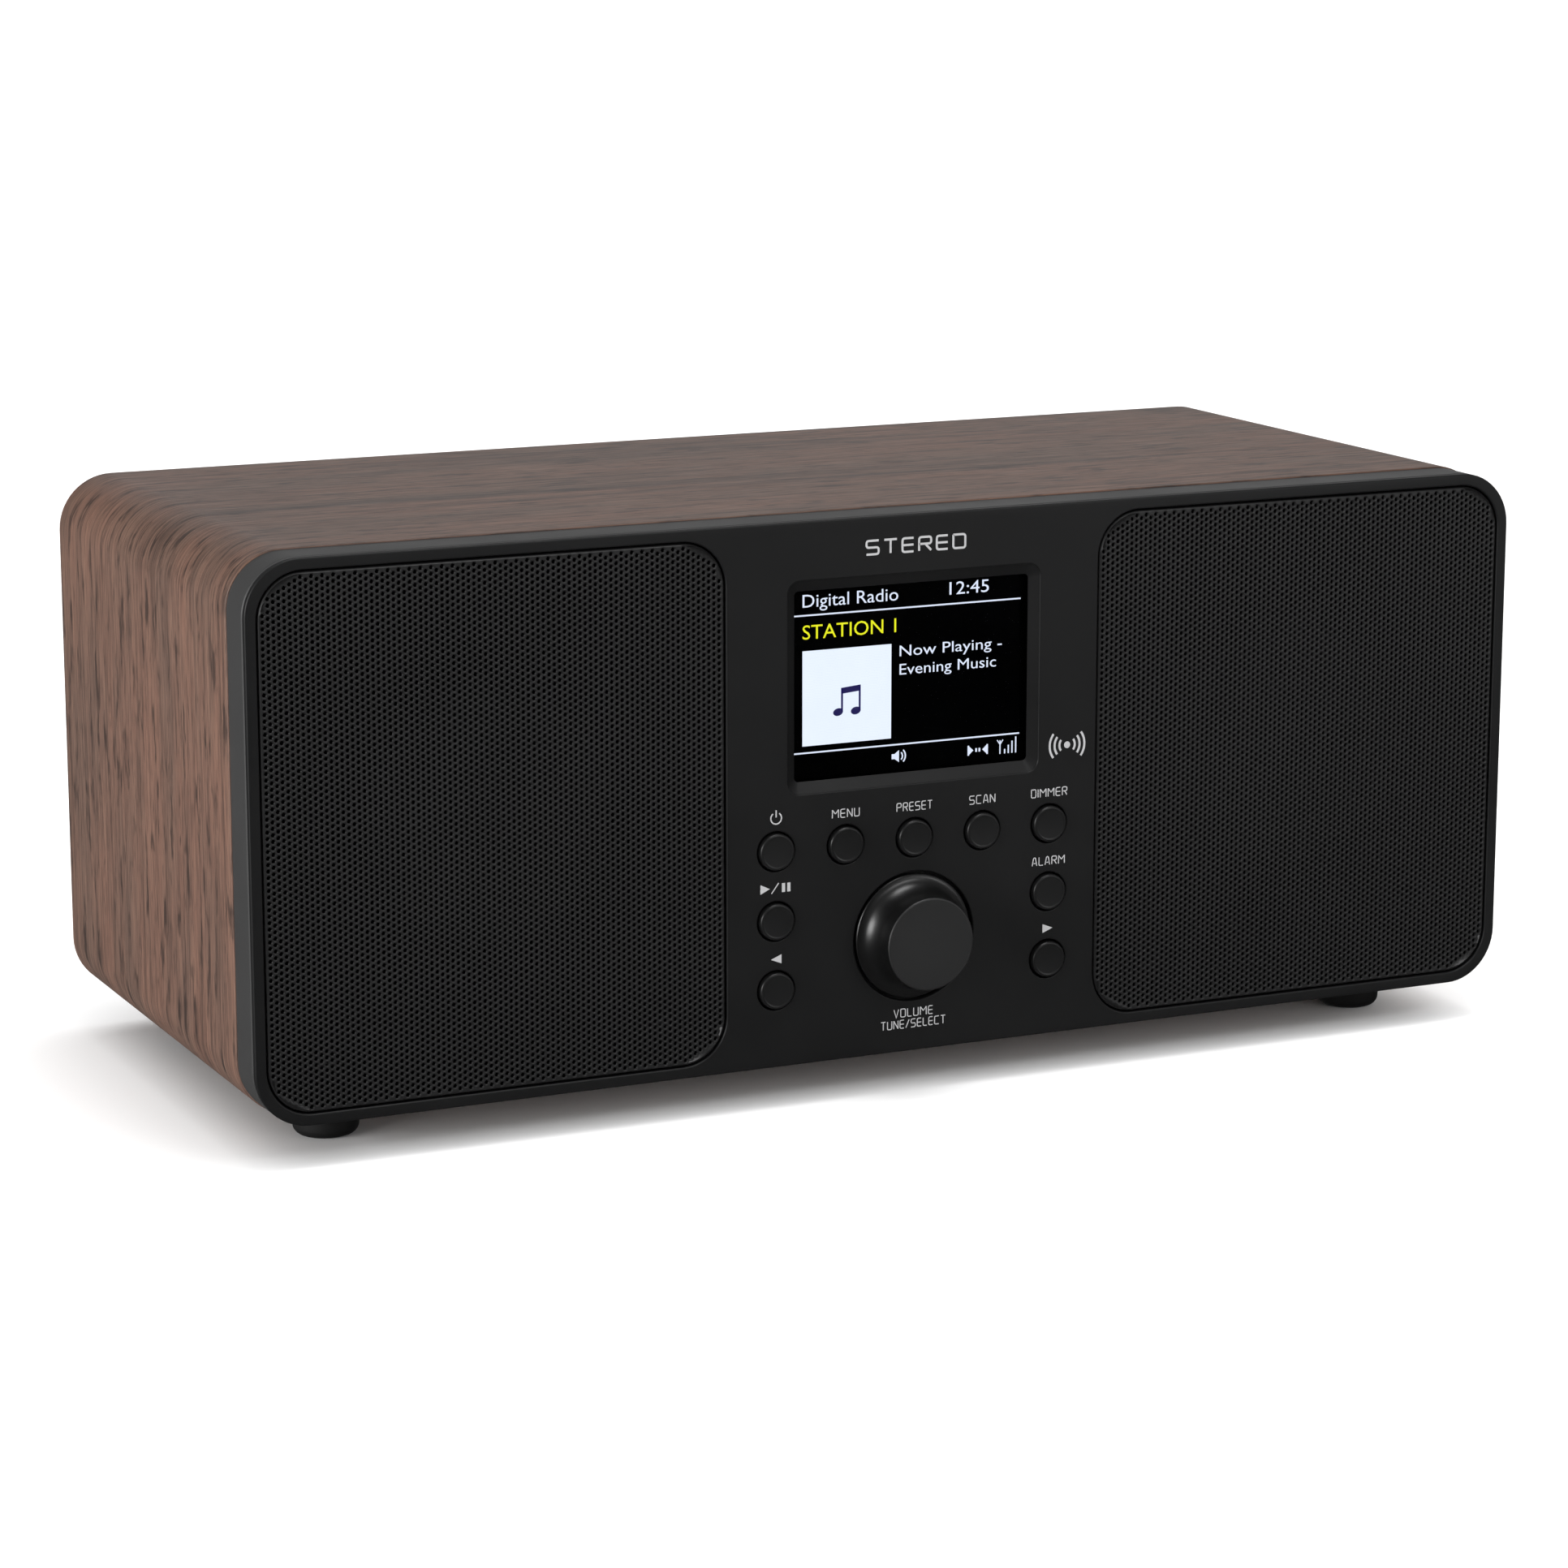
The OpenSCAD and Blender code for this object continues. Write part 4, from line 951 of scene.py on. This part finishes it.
for k in range(4):
    icons.stroke([(sx + 1.9 + 0.9 * k, sz), (sx + 1.9 + 0.9 * k, sz + 1.0 + 0.85 * k)], 0.3)
white.add(icons.shape.verts, icons.shape.faces)
PIXEL_WHITE = (0.78, 0.84, 0.99)
make("screen_writing", HOUSING, white, lit("pixels_white", PIXEL_WHITE, 1.15),
     angle=30, recalc=False)
make("screen_station", HOUSING, yellow, lit("pixels_yellow", (0.86, 0.86, 0.01), 1.15),
     angle=30, recalc=False)
make("screen_card", HOUSING, art, lit("pixels_card", (0.78, 0.84, 0.97), 1.28), angle=30)
make("screen_note", HOUSING, mark, lit("pixels_navy", (0.012, 0.008, 0.09)), angle=30)

# ---------------------------------------------------------------- back

back_lo, back_hi = box("back_panel")
SOCKETS = {"dc_jack": 4.4, "headphone_jack": 3.4, "aux_jack": 3.4}
SOCKET_Z = box("main_board")[1].z + 5.5
PIVOT_DISC_R = 9.0
pivot_x = centre("antenna_bracket")[0]
pivot_z = box("antenna_bracket")[1].z - PIVOT_DISC_R


def vent(offset, x, z):
    return rounded(40 + 2 * offset, 2 + 2 * offset, 0.9 + offset, x, z, 6)


def back_plate():
    s = Shape()
    face, inner = back_hi.y, back_lo.y
    e = 0.45
    w, h = back_hi.x - back_lo.x, back_hi.z - back_lo.z

    def outline(d):
        return rounded(w - 2 * d, h - 2 * d, max(4.0 - d, 0.6), 0, MID_Z, 10)

    openings = [lambda o, x=x, z=z: circle(1.8 + o, x, z, 32) for x, z in back_screw_places()]
    openings += [lambda o, n=n, r=r: circle(r + o, centre(n)[0], SOCKET_Z, 48) for n, r in SOCKETS.items()]
    openings += [lambda o: circle(4.8 + o, pivot_x, pivot_z, 48)]
    openings += [lambda o, x=side * SPEAKER_X, z=MID_Z - 17 + 6 * k: vent(o, x, z)
                 for side in (-1, 1) for k in range(6)]
    s.fill(face, outline(e), [f(0.25) for f in openings], flip=True)
    s.loft([at(outline(a), face - d) for a, d in arc(e)] + [at(outline(0), inner)])
    for f in openings:
        s.loft([at(f(a), face - d) for a, d in arc(0.25, 2)] + [at(f(0), inner)])
    s.fill(inner, outline(0), [f(0) for f in openings])
    return s


make("moulded_back", HOUSING, back_plate(), FINISH["back_plastic"], ["back_panel"], angle=32)


def screw_heads():
    s = Shape()
    lo, hi = box("back_screws")
    seat, top = back_hi.y, hi.y
    for x, z in back_screw_places():
        arm, half = 1.55, 0.36
        cross = [(half, half), (half, arm), (-half, arm), (-half, half), (-arm, half), (-arm, -half),
                 (-half, -half), (-half, -arm), (half, -arm), (half, -half), (arm, -half), (arm, half)]
        cross = [(x + a, z + b) for a, b in cross]
        s.fill(top, circle(2.1, x, z, 48), [cross], flip=True)
        s.loft([at(circle(2.1, x, z, 48), top), at(circle(2.65, x, z, 48), top - 0.15),
                at(circle(3.0, x, z, 48), top - 0.5), at(circle(3.2, x, z, 48), top - 1.0),
                at(circle(3.2, x, z, 48), seat), at(circle(1.4, x, z, 48), seat),
                at(circle(1.4, x, z, 48), lo.y + 1.2), at(circle(0.05, x, z, 48), lo.y)])
        s.loft([at(cross, top), at(cross, top - 1.0)])
        s.fill(top - 1.0, cross, flip=True)
    return s


make("cross_screws", HOUSING, screw_heads(), FINISH["black_steel"], ["back_screws"], angle=40)

rear = Print(back_hi.y, 0.03, facing=1)
# Print mirrors x for the back, so places are given as seen from behind
SOCKET_LABELS = (("DC IN", "dc_jack", 7.2), ("PHONES", "headphone_jack", 9.4), ("AUX IN", "aux_jack", 8.4))
for words, node, width in SOCKET_LABELS:
    rear.text(words, -centre(node)[0], SOCKET_Z + 7.6, 1.9, width)
make("back_lettering", HOUSING, rear.shape, BACK_INK, angle=30)

# ---------------------------------------------------------------- stage, light and camera

floor_mesh = bpy.data.meshes.new("floor")
floor_mesh.from_pydata([(-30, -30, 0), (30, -30, 0), (30, 30, 0), (-30, 30, 0)], [], [(0, 1, 2, 3)])
floor = bpy.data.objects.new("floor", floor_mesh)
scene.collection.objects.link(floor)
pale = Look("pale_floor", Roughness=0.9, Specular_IOR_Level=0.1)
pale.set(pale.bsdf, "Base Color", pale.blend(
    pale.noise(pale.place((1, 1, 1)), 3.0), (0.88, 0.88, 0.88), (0.90, 0.90, 0.90)))
floor_mesh.materials.append(pale.mat)
floor.visible_glossy = False

world = bpy.data.worlds.new("studio")
scene.world = world
world.use_nodes = True
wt = world.node_tree
wt.nodes.clear()


def world_node(kind, inputs, **props):
    """A world node with its inputs set or linked; returns its first output."""
    n = wt.nodes.new("ShaderNode" + kind)
    for key, value in props.items():
        setattr(n, key, value)
    for key, value in inputs.items():
        if isinstance(value, bpy.types.NodeSocket):
            wt.links.new(value, n.inputs[key])
        else:
            n.inputs[key].default_value = value
    return n.outputs[0]


def world_ramp(value, start, end, low, high):
    return world_node("MapRange", {"Value": value, "From Min": start, "From Max": end,
                                   "To Min": low, "To Max": high})


# dim dome, a little brighter behind the object; the camera sees plain white past the floor
direction = wt.nodes.new("ShaderNodeSeparateXYZ")
wt.links.new(wt.nodes.new("ShaderNodeTexCoord").outputs["Generated"], direction.inputs[0])
dome = world_ramp(direction.outputs["Z"], 0.0, 0.1, 0.02, 0.12)
behind = world_ramp(direction.outputs["Y"], 0.0, 0.5, 0.0, 0.09)
glow = world_node("Math", {0: dome, 1: behind}, operation="MAXIMUM")
path = wt.nodes.new("ShaderNodeLightPath")
seen = world_node("Math", {0: path.outputs["Is Camera Ray"], 1: glow}, operation="MAXIMUM")
sky = world_node("Background", {"Color": (1, 1, 1, 1), "Strength": seen})
wt.links.new(sky, wt.nodes.new("ShaderNodeOutputWorld").inputs[0])


def area(name, place, aim, size, watts):
    lamp = bpy.data.lights.new(name, "AREA")
    lamp.shape, lamp.size, lamp.size_y, lamp.energy = "RECTANGLE", size[0], size[1], watts
    holder = bpy.data.objects.new(name, lamp)
    scene.collection.objects.link(holder)
    holder.location = place
    holder.rotation_euler = (Vector(aim) - Vector(place)).to_track_quat("-Z", "Y").to_euler()
    holder.visible_camera = False
    return holder


area("left_softbox", (-1.3, -0.3, 0.3), (-0.15, 0, 0.06), (0.9, 0.5), 11.5)
area("top_softbox", (0.05, -0.15, 1.1), (0, -0.03, 0.06), (0.5, 0.45), 4.2)
area("front_softbox", (0.25, -0.9, 0.68), (0, -0.06, 0.04), (0.5, 0.2), 1.4)
area("right_softbox", (0.75, -1.1, 0.22), (0.05, -0.06, 0.06), (0.4, 0.3), 1.0)
area("back_softbox", (0.6, 1.4, 0.5), (0, 0, 0.12), (1.6, 0.6), 1.6)
sun = bpy.data.lights.new("floor_light", "SUN")
sun.energy, sun.angle = 4.2, math.radians(130)
sun_holder = bpy.data.objects.new("floor_light", sun)
scene.collection.objects.link(sun_holder)
sun_holder.rotation_euler = Vector((-0.25, 0.35, -1)).to_track_quat("-Z", "Y").to_euler()
only_floor = bpy.data.collections.new("lit_by_floor_light")
only_floor.objects.link(floor)
sun_holder.light_linking.receiver_collection = only_floor

CAMERA_LENS = 104.5
CAMERA_PLACE = Vector((-431.0, -921.65, 273.9)) * MM
CAMERA_YAW, CAMERA_PITCH = -0.4368, -0.2109
camera = bpy.data.cameras.new("camera")
camera.lens, camera.sensor_width = CAMERA_LENS, 36.0
camera.clip_start, camera.clip_end = 0.05, 100.0
holder = bpy.data.objects.new("camera", camera)
scene.collection.objects.link(holder)
forward = Vector((-math.sin(CAMERA_YAW) * math.cos(CAMERA_PITCH),
                  math.cos(CAMERA_YAW) * math.cos(CAMERA_PITCH), math.sin(CAMERA_PITCH)))
right = forward.cross(Vector((0, 0, 1))).normalized()
up = right.cross(forward)
turn = Matrix((right, up, -forward)).transposed().to_4x4()
holder.matrix_world = Matrix.Translation(CAMERA_PLACE) @ turn
scene.camera = holder
